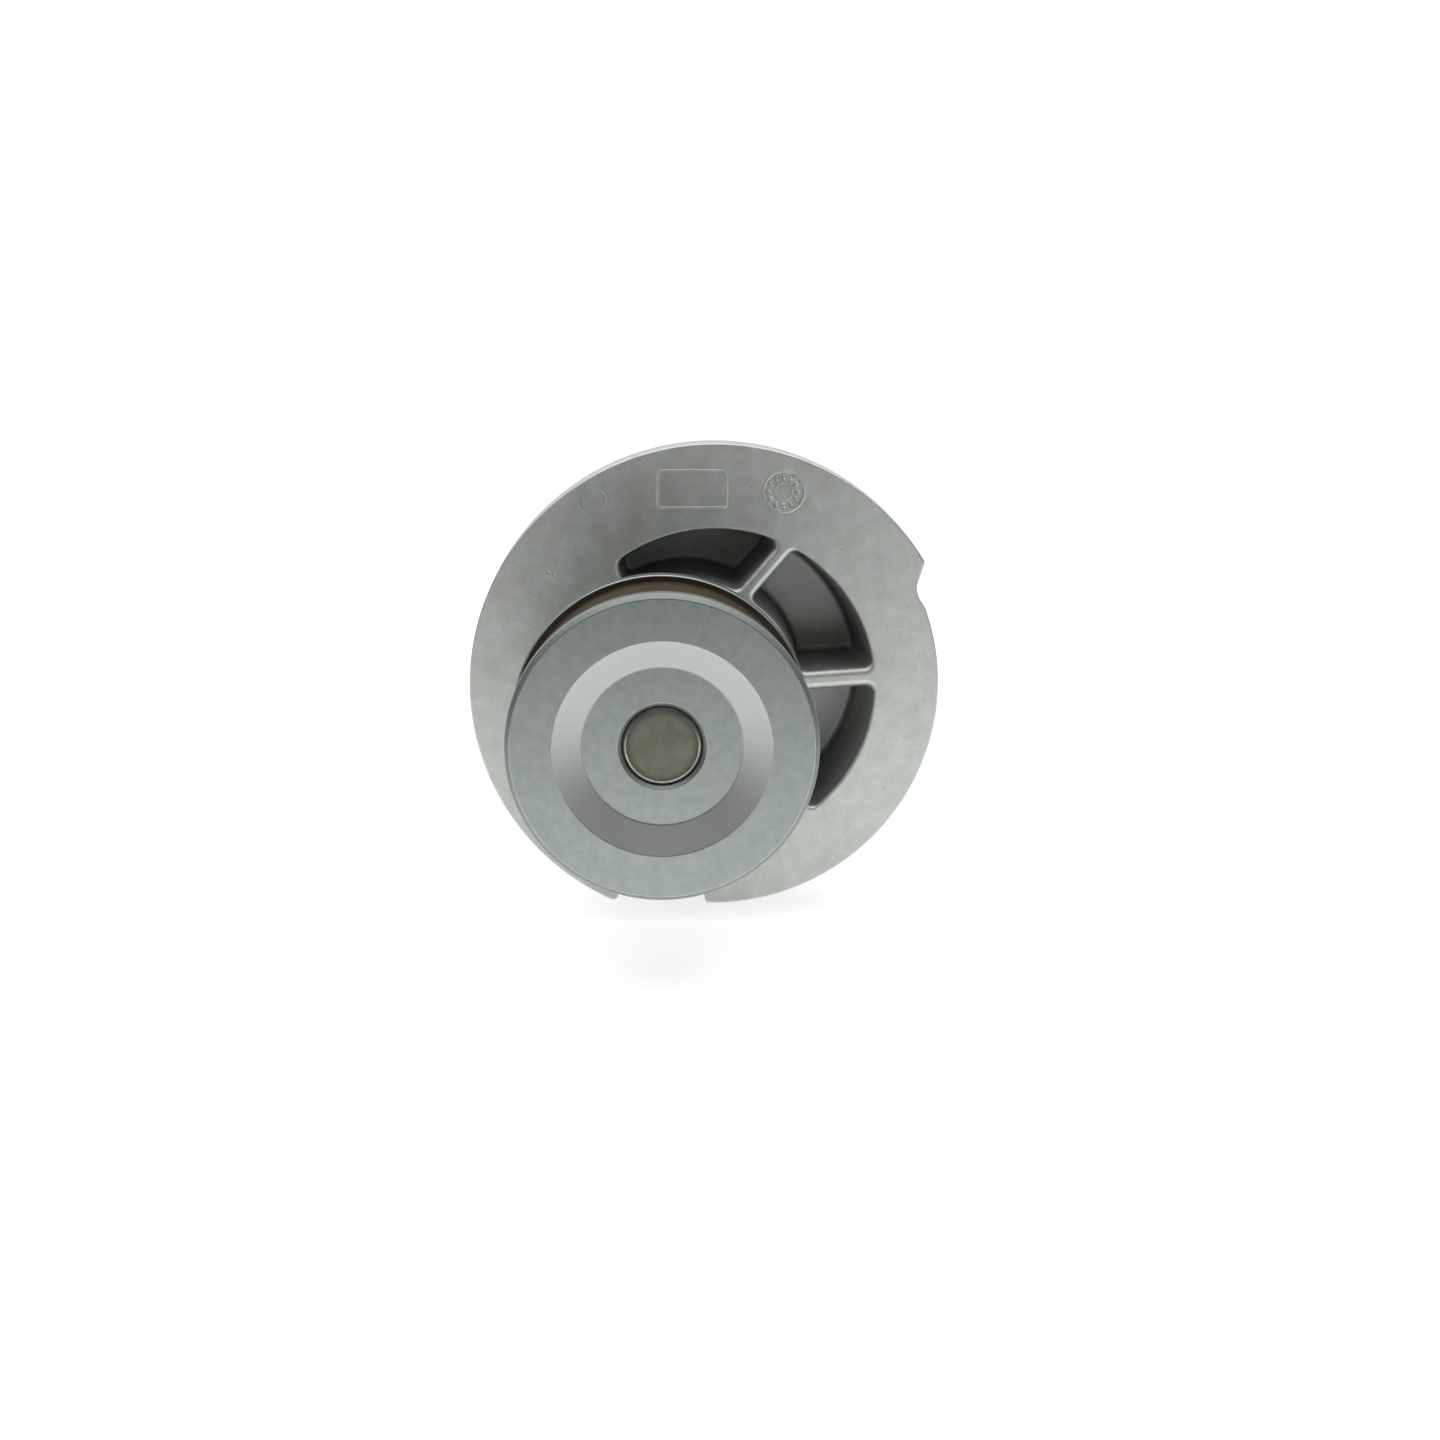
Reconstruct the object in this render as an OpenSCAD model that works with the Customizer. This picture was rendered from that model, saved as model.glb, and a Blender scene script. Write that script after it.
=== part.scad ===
// Coolant pump with an eccentric flange and a smooth, flanged belt pulley.
//
// The round flange seats on an engine block and is clamped there by its rim.
// The shaft sits off the flange's centre, so turning the whole pump in its bore tensions the belt.
//
// Every piece is drawn on the bench, seat face down: +Z there points at the pulley, and heights
// are counted from the seat face. installed() then lays the shaft along Y, with the pulley at -Y.

/* [Flange] */
// Radius of the flange's large lobe
flange_r = 53.5; // [48:0.5:60]
// Radius of the flange's small lobe
lobe_r = 49.3; // [44:0.1:53]
// Thickness of the flange
flange_t = 8; // [5:0.5:12]
// Distance from the flange's centre to the shaft
eccentricity = 11.9; // [6:0.1:12.5]
// Direction of the shaft from the flange's centre
eccentric_angle = 182; // [170:1:190]
// Where the step between the two lobes starts
step_angle = 26.7; // [15:0.1:35]
// Lean of the step's riser
step_lean = 72; // [60:1:90]
// Depth of the relief at the step's foot
step_relief = 0.8; // [0.3:0.1:1.2]
// Width of the alignment notch under the shaft
notch_w = 19.3; // [12:0.1:24]
// Radius of the notch's floor, from the flange's centre
notch_floor_r = 45.2; // [43.5:0.1:47]

/* [Spigot] */
// Radius of the spigot that fits the block's bore
spigot_r = 42; // [40:0.1:44]
// Height of the rim that stands around the housing's rear wall
rim_lip = 1.5; // [0.5:0.1:3]
// Width of that rim
rim_lip_w = 4.5; // [3:0.1:6]
// Lead-in chamfer at the spigot's end
spigot_chamfer = 1.4; // [0.5:0.1:2]
// Distance from the seat face to the middle of the ring groove
groove_mid = 11; // [8:0.5:14]
// Width of the ring groove
groove_w = 4.7; // [4.2:0.1:5.5]
// Depth of the ring groove
groove_d = 2.8; // [2.4:0.1:3]

/* [Pockets] */
// Depth of the pockets below the seat face
pocket_d = 15.5; // [10:0.5:17]
// Thickness of the wall behind the pockets
web_t = 4; // [3:0.5:6]
// Radius of the pockets' outer wall at the flange's face
pocket_mouth_r = 35.2; // [33:0.1:36.5]
// How far the outer wall draws in down to the floor
pocket_draft = 1.8; // [0.5:0.1:2.5]
// Radius of the boss inside the pockets, at their floor
boss_r = 26; // [24:0.1:27]
// How far the boss draws in up to the flange's face
boss_draft = 1; // [0.2:0.1:1.5]
// Shift of the boss from the shaft, across
boss_across = 6; // [3:0.5:8]
// Shift of the boss from the shaft, down
boss_drop = 1; // [0:0.5:2]
// Angle of the pockets' upper end about the shaft
pocket_top_angle = 108; // [95:1:112]
// Angle of the pockets' lower end about the shaft
pocket_low_angle = -106; // [-112:1:-95]
// Angle of the upper rib about the shaft
rib_top_angle = 49; // [40:1:60]
// Thickness of the upper rib
rib_top_t = 3.3; // [2:0.1:5]
// Angle of the middle rib about the shaft
rib_mid_angle = 3.5; // [-5:0.5:10]
// Thickness of the middle rib
rib_mid_t = 4.2; // [2:0.1:5]
// Angle of the lower rib about the shaft
rib_low_angle = -41; // [-55:1:-30]
// Thickness of the lower rib
rib_low_t = 3.4; // [2:0.1:5]

/* [Nose] */
// Length of the bearing nose in front of the flange
nose_l = 28; // [24:0.5:29]
// Radius of the nose at its tip
nose_r = 18.6; // [17.5:0.1:20]
// How much wider the nose is at its root
nose_draft = 0.8; // [0:0.1:1.5]
// Size of the wrench hexagon across its flats
hex_flats = 41; // [39.5:0.5:43]
// Radius that the hexagon's corners are turned to
hex_corner_r = 22.6; // [21.5:0.1:23]
// Height of the wrench hexagon
hex_h = 12; // [8:0.5:15]
// Radius of the weep hole
weep_r = 2.2; // [1.5:0.1:2.2]

/* [Casting marks] */
// Height of the raised marks
mark_h = 0.4; // [0.2:0.1:0.6]
// Width of the line of the raised marks
mark_line = 0.6; // [0.4:0.1:1]
// Distance across from the shaft to the blank name panel
panel_across = 7.1; // [5:0.1:9]
// Width of the blank name panel
panel_w = 15.4; // [8:0.1:17]
// Height of the blank name panel
panel_h = 8.6; // [5:0.1:9]
// Distance across from the shaft to the round mould mark
dial_across = 26.8; // [23:0.1:28]
// Radius of the round mould mark
dial_r = 4.5; // [3.5:0.1:4.8]
// Distance across from the shaft to the sunk ejector mark
ejector_across = -14.9; // [-20:0.1:-12]
// Radius of the sunk ejector mark
ejector_r = 5.2; // [3:0.1:5.5]

/* [Belt pulley] */
// Distance from the seat face to the middle of the belt
belt_line = 48.8; // [46:0.1:54]
// Width of the belt's land
land_w = 19.4; // [12:0.1:21]
// Radius of the belt's land
land_r = 29; // [28:0.1:29.8]
// Radius of the pulley's two rims
rim_r = 30.5; // [30:0.1:32]
// Thickness of the front rim
front_rim_t = 3.8; // [3.5:0.1:5]
// Thickness of the rear rim
rear_rim_t = 4.1; // [3:0.1:5]
// Chamfer on the rims
rim_chamfer = 0.9; // [0.3:0.1:1.4]
// Radius of the front recess at the face
recess_r = 21.3; // [19:0.1:24]
// Radius of the front recess at its floor
recess_floor_r = 15.8; // [12:0.1:17]
// Depth of the front recess
recess_d = 3.1; // [1:0.1:4]
// Radius of the pulley's hub
hub_r = 14.5; // [12:0.1:16]
// Inner radius of the pulley's rear hollow
hollow_r = 24.5; // [23:0.1:26]
// Thickness of the pulley's web
pulley_web_t = 9; // [5:0.5:11]
// Gap between the nose and the pulley's hub
nose_gap = 1.5; // [1:0.1:2.5]
// Chamfer at the mouth of the pulley's bore
bore_chamfer = 0.7; // [0.3:0.1:1.5]

/* [Shaft and bearing] */
// Radius of the shaft
shaft_r = 7.96; // [7.7:0.01:8.1]
// How far the shaft's front end lies below the recess floor
shaft_sink = 0.3; // [0:0.1:1]
// Chamfer on the shaft's ends
shaft_chamfer = 0.9; // [0.3:0.1:1.5]
// How far the shaft's rear end lies inside the impeller's hub
shaft_short = 0.4; // [0:0.1:2]
// Radius of the bearing's outer ring
ring_r = 15; // [14.8:0.1:15.5]
// Length of the bearing's outer ring
ring_l = 38.9; // [37:0.1:40]
// Radius of the bore through the outer ring
ring_bore_r = 11.95; // [11.8:0.05:12.2]
// Radius of a bearing ball
ball_r = 3; // [2.8:0.05:3.05]
// Number of balls in a row
ball_count = 8; // [6:1:8]
// Distance between the two rows of balls
row_spacing = 19; // [16:0.5:20]
// Width of a ball cage
cage_w = 8.4; // [7.5:0.1:9]
// Thickness of a ball cage
cage_t = 2.2; // [1.6:0.1:2.4]
// Thickness of a bearing seal
seal_t = 2; // [1.6:0.1:2.4]
// How much wider than the ring's bore the seat of a bearing seal is
seal_step = 1; // [0.6:0.1:1.2]
// Thickness of the steel plates inside the seals
stiffener_t = 0.6; // [0.4:0.1:0.8]
// Radius of the slinger disc
slinger_r = 13.2; // [11:0.1:14]
// Thickness of the slinger disc
slinger_t = 1; // [0.6:0.1:1.4]

/* [Face seal] */
// Radius of the seal's bore in the housing
seal_bore_r = 18.3; // [18.2:0.05:18.6]
// Depth of the seal's case
case_l = 11.5; // [11.2:0.1:12]
// Thickness of the seal's sheet metal
sheet_t = 0.8; // [0.5:0.1:0.9]
// Radius of the case's flange
case_flange_r = 20.8; // [20:0.1:21.5]
// Thickness of the bellows' rubber
rubber_t = 1; // [0.7:0.05:1]
// Inner radius of the bellows
bellows_r = 10.6; // [10.4:0.05:10.8]
// Inner radius of the carbon ring
carbon_in_r = 9.6; // [9.2:0.05:9.8]
// Outer radius of the carbon ring
carbon_out_r = 13.2; // [12.8:0.05:13.3]
// Length of the carbon ring's body
carbon_l = 3; // [2.6:0.1:3.2]
// Length of the carbon ring's running nose
carbon_nose_l = 0.8; // [0.4:0.1:1]
// How far the running face lies inside the case
face_inset = 1.5; // [1.3:0.1:1.8]
// Radius of the spring's wire
wire_r = 0.5; // [0.35:0.05:0.55]
// Turns of the spring
spring_turns = 3; // [2:0.5:3.5]
// Thickness of the hard mating ring
mating_t = 3; // [2:0.1:4]
// Outer radius of the mating ring
mating_r = 14.4; // [13.8:0.05:14.6]
// Thickness of the mating ring's rubber boot
boot_t = 1.2; // [0.9:0.05:1.4]
// Thickness of the sleeve on the shaft
sleeve_t = 0.45; // [0.35:0.05:0.5]

/* [Impeller] */
// Radius of the impeller
impeller_r = 28; // [24:0.1:29]
// Gap between the housing and the impeller's plate
impeller_gap = 1.5; // [1:0.1:3]
// Thickness of the impeller's plate
plate_t = 2.4; // [2:0.1:4]
// Height of the vanes at the hub
vane_h = 10; // [6:0.5:14]
// Drop of the vanes' height towards their tips
vane_drop = 3.5; // [0:0.5:5]
// Number of vanes
vane_count = 7; // [4:1:8]
// Thickness of a vane
vane_t = 2.2; // [1.4:0.1:3]
// Radius of the curve that a vane follows
vane_curve_r = 17; // [16:0.5:24]
// Radius of the impeller's hub at its rear end
impeller_hub_r = 13; // [12.5:0.1:15]
// Radius of the steel bush in the impeller's hub
bush_r = 10.6; // [9.5:0.1:11.5]

/* [Fits] */
// Clearance of pieces that are pressed together, on the radius
press_gap = 0.02; // [0.01:0.01:0.05]
// Clearance between a ball and its races
race_gap = 0.05; // [0.02:0.01:0.1]
// Clearance between a ball and its cage
cage_gap = 0.12; // [0.08:0.01:0.2]
// Gap at the seal's running face
face_gap = 0.05; // [0.02:0.01:0.1]
// Clearance under the lip of a bearing seal
lip_gap = 0.06; // [0.02:0.01:0.1]
// Clearance around the pressed case's flange
flange_gap = 0.3; // [0.1:0.1:0.5]

/* [Hidden] */

$fn = 96;
reach = 3 * flange_r;          // longer than any part of the pump
skin = 0.5;                    // what a cutting tool stands proud of the face that it opens
ease = 0.4;                    // small room that two pieces leave each other inside the seals

// Where the shaft is
shaft_x = eccentricity * cos(eccentric_angle);
shaft_y = eccentricity * sin(eccentric_angle);

// Heights above the seat face: the front of the pump
nose_top = flange_t + nose_l;
pulley_front = belt_line + land_w / 2 + front_rim_t;
pulley_rear = belt_line - land_w / 2 - rear_rim_t;
recess_floor = pulley_front - recess_d;
hub_rear = nose_top + nose_gap;
shaft_front = recess_floor - shaft_sink;

// Heights above the seat face: the bearing
ring_rear = nose_top - ring_l;
ring_mid = nose_top - ring_l / 2;
front_row = ring_mid + row_spacing / 2;
rear_row = ring_mid - row_spacing / 2;
pitch_r = (shaft_r + ring_bore_r) / 2;
seal_seat_r = ring_bore_r + seal_step;
cage_in_r = pitch_r - cage_t / 2;
face_sink = 0.2;               // how far a bearing seal's outer face lies inside the ring
lip_t = 0.55;                  // thickness of a bearing seal's lip

// Heights above the seat face: behind the flange, all below zero
web_rear = -pocket_d - web_t;
spigot_l = rim_lip - web_rear;
case_floor = web_rear + case_l;
seal_bore_top = case_floor + ease;
weep_mid = (ring_rear + seal_bore_top) / 2;
slinger_mid = weep_mid + slinger_t / 2;
running_face = web_rear + face_inset;

// The relief that is scooped out of the small lobe just before the step
relief_r = 5;
relief_angle = step_angle - 3.7;

// The casting marks
mark_row = (pocket_mouth_r + flange_r) / 2 - 1.2;
panel_raise = 0.5;             // how much higher the panel sits than the round marks
tick_l = 1;                    // length of a tick on the mould mark
tick_w = 0.5;

// The face seal, from the case's floor to the running face
case_r = seal_bore_r - press_gap;
lip_top = case_floor - sheet_t - press_gap;
lip_rear = lip_top - rubber_t;
clamp_rear = lip_rear - press_gap - stiffener_t;
carbon_back = running_face + carbon_nose_l + carbon_l;
cup_back = carbon_back + press_gap + rubber_t;
cup_r = carbon_out_r + press_gap + rubber_t;
cup_rim = carbon_back - carbon_l + ease;
collar_r = cup_r + press_gap;
collar_flange_r = case_r - sheet_t - 1.5 * ease;
collar_rear = cup_rim + 1.5 * ease;
collar_seat = collar_rear + stiffener_t;
spring_r = (collar_r + stiffener_t + collar_flange_r) / 2;

// The rotating half of the face seal
sleeve_r = shaft_r + press_gap + sleeve_t;
sleeve_front = case_floor - sheet_t - ease / 2;
boot_in_r = sleeve_r + press_gap;
mating_in_r = boot_in_r + boot_t + press_gap;
mating_front = running_face - face_gap;
mating_rear = mating_front - mating_t;
boot_rear = mating_rear - press_gap - boot_t;
boot_r = mating_r + press_gap + boot_t;
boot_inset = 0.6;              // what the running face stands proud of its boot
sleeve_flange_r = boot_r - boot_t;
sleeve_rear = boot_rear - press_gap - sleeve_t;

// The impeller
plate_front = web_rear - impeller_gap;
plate_rear = plate_front - plate_t;
impeller_rear = plate_rear - vane_h;
hub_face = sleeve_rear - press_gap;
boot_well_r = boot_r + 1;      // the well in the hub's front that the mating ring's boot turns in
hub_root_r = boot_well_r + 2;  // the well's wall
hub_cone_h = 4;                // height over which the hub narrows from its root
vane_inset = 0.4;              // how far the vanes stay inside the plate's rim and the hub's end
shaft_rear = impeller_rear + shaft_short;

// The block-side rim of the housing
rim_lip_r = spigot_r - rim_lip_w;
groove_floor_r = spigot_r - groove_d;

// Lays a piece from the bench into its place: the shaft along Y, the pulley towards -Y.
module installed() rotate([90, 0, 0]) children();

// Moves a piece onto the shaft's axis.
module on_shaft() translate([shaft_x, shaft_y, 0]) children();

// A turned ring between two radii and two heights.
module ring(inner, outer, low, high) {
    translate([inner, low]) square([outer - inner, high - low]);
}

// ---- housing ----

// Outline of the flange: a small round lobe, and a large one that ends in a step and a notch.
module flange_outline() {
    foot = lobe_r * [cos(step_angle), sin(step_angle)];
    difference() {
        union() {
            circle(lobe_r);
            intersection() {
                circle(flange_r);
                polygon([
                    [0, 0], foot, foot + reach * [cos(step_lean), sin(step_lean)],
                    [-reach, reach], [-reach, -reach], [shaft_x, -reach]
                ]);
            }
        }
        translate([shaft_x - notch_w / 2, -reach]) square([notch_w, reach - notch_floor_r]);
        rotate(relief_angle) translate([lobe_r - step_relief + relief_r, 0]) circle(relief_r);
    }
}

// The spigot, with its ring groove and lead-in chamfer.
module spigot() {
    rotate_extrude() polygon([
        [0, 0], [spigot_r, 0],
        [spigot_r, -groove_mid + groove_w / 2], [groove_floor_r, -groove_mid + groove_w / 2],
        [groove_floor_r, -groove_mid - groove_w / 2], [spigot_r, -groove_mid - groove_w / 2],
        [spigot_r, -spigot_l + spigot_chamfer], [spigot_r - spigot_chamfer, -spigot_l],
        [0, -spigot_l]
    ]);
}

// A wedge about the shaft, between the upper side of one rib and the lower side of the next.
module wedge(low_angle, low_t, high_angle, high_t) {
    intersection() {
        rotate(low_angle) translate([0, low_t / 2]) square(reach);
        rotate(high_angle) translate([0, -reach - high_t / 2]) square(reach);
    }
}

// The space of one pocket: between the boss and the outer wall, from rib to rib.
module pocket(low_angle, low_t, high_angle, high_t) {
    height = pocket_d + flange_t;
    difference() {
        intersection() {
            translate([0, 0, -pocket_d])
                cylinder(r1 = pocket_mouth_r - pocket_draft, r2 = pocket_mouth_r, h = height + skin);
            on_shaft() translate([0, 0, -pocket_d - skin])
                linear_extrude(height + 3 * skin) wedge(low_angle, low_t, high_angle, high_t);
        }
        on_shaft() translate([boss_across, -boss_drop, -pocket_d - skin])
            cylinder(r1 = boss_r, r2 = boss_r - boss_draft, h = height + 3 * skin);
    }
}

// The four pockets, which leave three ribs between them.
module pockets() {
    pocket(rib_top_angle, rib_top_t, pocket_top_angle, 0);
    pocket(rib_mid_angle, rib_mid_t, rib_top_angle, rib_top_t);
    pocket(rib_low_angle, rib_low_t, rib_mid_angle, rib_mid_t);
    pocket(pocket_low_angle, 0, rib_low_angle, rib_low_t);
}

// The nose that carries the bearing, with the hexagon that a wrench turns the pump by.
module nose() {
    on_shaft() {
        translate([0, 0, -skin])
            cylinder(r1 = nose_r + nose_draft, r2 = nose_r, h = nose_top + skin);
        intersection() {
            cylinder(r = hex_flats / 2 / cos(30), h = flange_t + hex_h, $fn = 6);
            cylinder(r = hex_corner_r, h = flange_t + hex_h);
        }
    }
}

// The holes on the shaft's axis, the weep hole under them and the rear recess.
module bores() {
    on_shaft() {
        translate([0, 0, seal_bore_top - skin]) cylinder(r = ring_r + press_gap, h = reach);
        translate([0, 0, web_rear - skin]) cylinder(r = seal_bore_r, h = seal_bore_top - web_rear + skin);
        translate([0, 0, web_rear - skin])
            cylinder(r = case_flange_r + flange_gap, h = sheet_t + press_gap + skin);
        translate([0, 0, weep_mid]) rotate([90, 0, 0]) cylinder(r = weep_r, h = boss_r + 2 * boss_drop);
    }
    translate([0, 0, -spigot_l - skin]) cylinder(r = rim_lip_r, h = rim_lip + skin);
}

// Raised marks on the flange's face: a blank panel, and a mould dial with plain ticks.
module casting_marks() {
    translate([shaft_x, mark_row, flange_t - skin]) linear_extrude(mark_h + skin) {
        translate([panel_across, panel_raise]) difference() {
            square([panel_w, panel_h], center = true);
            square([panel_w - 2 * mark_line, panel_h - 2 * mark_line], center = true);
        }
        translate([dial_across, 0]) {
            difference() {
                circle(dial_r);
                circle(dial_r - mark_line);
            }
            for (i = [0 : 11]) rotate(30 * i)
                translate([dial_r - 2 * tick_l, 0]) square([tick_l, tick_w], center = true);
        }
    }
}

module housing() {
    color("silver") installed() difference() {
        union() {
            difference() {
                union() {
                    linear_extrude(flange_t) flange_outline();
                    spigot();
                }
                pockets();
            }
            nose();
            casting_marks();
        }
        bores();
        translate([shaft_x + ejector_across, mark_row, flange_t - mark_h / 2])
            cylinder(r = ejector_r, h = mark_h);
    }
}

// The housing's sealing ring, squeezed into its groove as it is in a block.
module housing_o_ring() {
    cord_r = groove_d / 2 - press_gap / 2;
    half = 0.35;               // half of the flat that the squeeze leaves
    color("#202020") installed() translate([0, 0, -groove_mid]) rotate_extrude()
        translate([spigot_r - groove_d / 2 + press_gap / 2, 0]) {
            translate([0, half]) circle(cord_r);
            translate([0, -half]) circle(cord_r);
            square([2 * cord_r, 2 * half], center = true);
        }
}

// ---- pulley and shaft ----

module pulley() {
    bore = shaft_r + press_gap;
    hollow_top = recess_floor - pulley_web_t;
    color("lightsteelblue") installed() on_shaft() rotate_extrude() polygon([
        [bore, hub_rear], [bore, recess_floor - bore_chamfer], [bore + bore_chamfer, recess_floor],
        [recess_floor_r, recess_floor], [recess_r, pulley_front],
        [rim_r - rim_chamfer, pulley_front], [rim_r, pulley_front - rim_chamfer],
        [rim_r, pulley_front - front_rim_t], [land_r, pulley_front - front_rim_t],
        [land_r, pulley_rear + rear_rim_t], [rim_r, pulley_rear + rear_rim_t],
        [rim_r, pulley_rear + rim_chamfer], [rim_r - rim_chamfer, pulley_rear],
        [hollow_r, pulley_rear], [hollow_r, hollow_top], [hub_r, hollow_top], [hub_r, hub_rear]
    ]);
}

// The track that the balls of both rows run in, as a cross-section.
module ball_track() {
    for (row = [front_row, rear_row]) translate([pitch_r, row]) circle(ball_r + race_gap);
}

module shaft() {
    tip_r = shaft_r - shaft_chamfer;
    color("#9a9480") installed() on_shaft() rotate_extrude() difference() {
        polygon([
            [0, shaft_rear], [tip_r, shaft_rear], [shaft_r, shaft_rear + shaft_chamfer],
            [shaft_r, shaft_front - shaft_chamfer], [tip_r, shaft_front], [0, shaft_front]
        ]);
        ball_track();
    }
}

module bearing_outer_ring() {
    seat = seal_t + face_sink;
    color("#8f9498") installed() on_shaft() rotate_extrude() difference() {
        ring(ring_bore_r, ring_r, ring_rear, nose_top);
        ring(0, seal_seat_r, ring_rear - skin, ring_rear + seat);
        ring(0, seal_seat_r, nose_top - seat, nose_top + skin);
        ball_track();
    }
}

// One row of balls at a height.
module ball_row(row) {
    installed() on_shaft() translate([0, 0, row])
        for (i = [0 : ball_count - 1])
            rotate(360 / ball_count * i) translate([pitch_r, 0, 0]) sphere(ball_r);
}
module front_balls() color("gainsboro") ball_row(front_row);
module rear_balls() color("gainsboro") ball_row(rear_row);

// A moulded cage that keeps the balls of one row apart.
module ball_cage(row) {
    installed() on_shaft() translate([0, 0, row]) difference() {
        rotate_extrude() ring(cage_in_r, cage_in_r + cage_t, -cage_w / 2, cage_w / 2);
        for (i = [0 : ball_count - 1])
            rotate(360 / ball_count * i) rotate([0, 90, 0]) cylinder(r = ball_r + cage_gap, h = ring_r);
    }
}
module front_ball_cage() color("#4a6b3a") ball_cage(front_row);
module rear_ball_cage() color("#4a6b3a") ball_cage(rear_row);

// A rubber lip seal in one end of the outer ring, drawn for the front end: its outer face lies at
// face_sink below the ring's end. way is 1 at the front end and -1 at the rear, where it is mirrored.
module at_ring_end(end, way) {
    installed() on_shaft() translate([0, 0, end]) mirror([0, 0, way > 0 ? 0 : 1]) children();
}
module bearing_seal(end, way) {
    lip_r = shaft_r + lip_gap;
    seat_r = seal_seat_r - press_gap;
    at_ring_end(end, way) rotate_extrude() difference() {
        polygon([
            [lip_r, -2 * face_sink], [lip_r + lip_t, -face_sink], [seat_r, -face_sink],
            [seat_r, -seal_t], [lip_r + 3 * lip_t, -seal_t], [lip_r, -seal_t / 2]
        ]);
        stiffener_section(press_gap);
    }
}

// The steel plate that the lip seal is moulded over, as a cross-section.
module stiffener_section(grow) {
    plate_top = -4 * face_sink;
    ring(
        shaft_r + 4 * lip_t - grow, seal_seat_r - lip_t + grow,
        plate_top - stiffener_t - grow, plate_top + grow
    );
}
module seal_stiffener(end, way) at_ring_end(end, way) rotate_extrude() stiffener_section(0);
module front_bearing_seal() color("#3b3b3b") bearing_seal(nose_top, 1);
module rear_bearing_seal() color("#3b3b3b") bearing_seal(ring_rear, -1);
module front_seal_stiffener() color("silver") seal_stiffener(nose_top, 1);
module rear_seal_stiffener() color("silver") seal_stiffener(ring_rear, -1);

// A disc on the shaft that throws leaked drops into the weep hole.
module slinger() {
    bore = shaft_r + press_gap;
    brim_r = slinger_r - 1.5 * slinger_t;
    color("#555555") installed() on_shaft() translate([0, 0, slinger_mid]) rotate_extrude() polygon([
        [bore, -slinger_t / 2], [brim_r, -slinger_t / 2], [slinger_r, -slinger_t],
        [slinger_r, 0], [brim_r, slinger_t / 2], [bore, slinger_t / 2]
    ]);
}

// ---- face seal, the half that stands still ----

module seal_case() {
    color("#b08d4a") installed() on_shaft() rotate_extrude() {
        ring(bellows_r - ease, case_r, case_floor - sheet_t, case_floor);
        ring(case_r - sheet_t, case_r, web_rear, case_floor);
        ring(case_r - sheet_t, case_flange_r, web_rear, web_rear + sheet_t);
    }
}

// The rubber bellows: a lip against the case's floor, one fold, and a cup around the carbon ring.
module seal_bellows() {
    fold = (lip_rear + cup_back) / 2;
    lip_r = case_r - sheet_t - press_gap;
    color("#262626") installed() on_shaft() rotate_extrude() polygon([
        [bellows_r, lip_top], [lip_r, lip_top], [lip_r, lip_rear], [bellows_r + rubber_t, lip_rear],
        [bellows_r + 2 * rubber_t, fold], [bellows_r + rubber_t, cup_back], [cup_r, cup_back],
        [cup_r, cup_rim], [cup_r - rubber_t, cup_rim], [cup_r - rubber_t, cup_back - rubber_t],
        [bellows_r, cup_back - rubber_t], [bellows_r, cup_back], [bellows_r + rubber_t, fold],
        [bellows_r, lip_rear]
    ]);
}

module bellows_clamp_ring() {
    color("silver") installed() on_shaft() rotate_extrude() ring(
        bellows_r + 2 * rubber_t + ease, case_r - sheet_t - 2 * press_gap,
        clamp_rear, lip_rear - press_gap
    );
}

// The spring's wire, swept along its helix: each ring of points lies square to the axis.
module seal_spring() {
    sides = 8;
    steps = 24;
    low = collar_seat + wire_r + press_gap;
    high = clamp_rear - wire_r - press_gap;
    rings = steps * spring_turns;
    points = [
        for (i = [0 : rings]) let (turn = 360 * i / steps, rise = (high - low) * i / rings)
            for (k = [0 : sides - 1]) let (across = spring_r + wire_r * cos(360 / sides * k))
                [across * cos(turn), across * sin(turn), low + rise + wire_r * sin(360 / sides * k)]
    ];
    walls = [
        for (i = [0 : rings - 1]) for (k = [0 : sides - 1]) let (next = (k + 1) % sides)
            [i * sides + k, (i + 1) * sides + k, (i + 1) * sides + next, i * sides + next]
    ];
    ends = [[for (k = [0 : sides - 1]) k], [for (k = [sides - 1 : -1 : 0]) rings * sides + k]];
    color("gainsboro") installed() on_shaft() polyhedron(points, concat(walls, ends), convexity = 6);
}

module spring_collar() {
    color("silver") installed() on_shaft() rotate_extrude() {
        ring(collar_r, collar_r + stiffener_t, collar_rear, cup_back - ease);
        ring(collar_r, collar_flange_r, collar_rear, collar_seat);
    }
}

// The carbon ring, with a narrower nose that runs on the mating ring.
module carbon_ring() {
    step = carbon_back - carbon_l;
    nose_in_r = carbon_in_r + 2 * ease;
    nose_out_r = carbon_out_r - 2 * ease;
    color("#303438") installed() on_shaft() rotate_extrude() polygon([
        [carbon_in_r, carbon_back], [carbon_out_r, carbon_back], [carbon_out_r, step],
        [nose_out_r, step], [nose_out_r, running_face], [nose_in_r, running_face],
        [nose_in_r, step], [carbon_in_r, step]
    ]);
}

// ---- face seal, the half that turns ----

module mating_ring() {
    color("ivory") installed() on_shaft() rotate_extrude()
        ring(mating_in_r, mating_r, mating_rear, mating_front);
}

module mating_ring_boot() {
    color("#262626") installed() on_shaft() rotate_extrude() {
        ring(boot_in_r, boot_in_r + boot_t, boot_rear, mating_front - boot_inset);
        ring(boot_in_r, boot_r, boot_rear, mating_rear - press_gap);
        ring(boot_r - boot_t, boot_r, boot_rear, mating_front - boot_inset);
    }
}

module seal_sleeve() {
    color("gainsboro") installed() on_shaft() rotate_extrude() {
        ring(sleeve_r - sleeve_t, sleeve_r, sleeve_rear, sleeve_front);
        ring(sleeve_r - sleeve_t, sleeve_flange_r, sleeve_rear, sleeve_rear + sleeve_t);
    }
}

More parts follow.
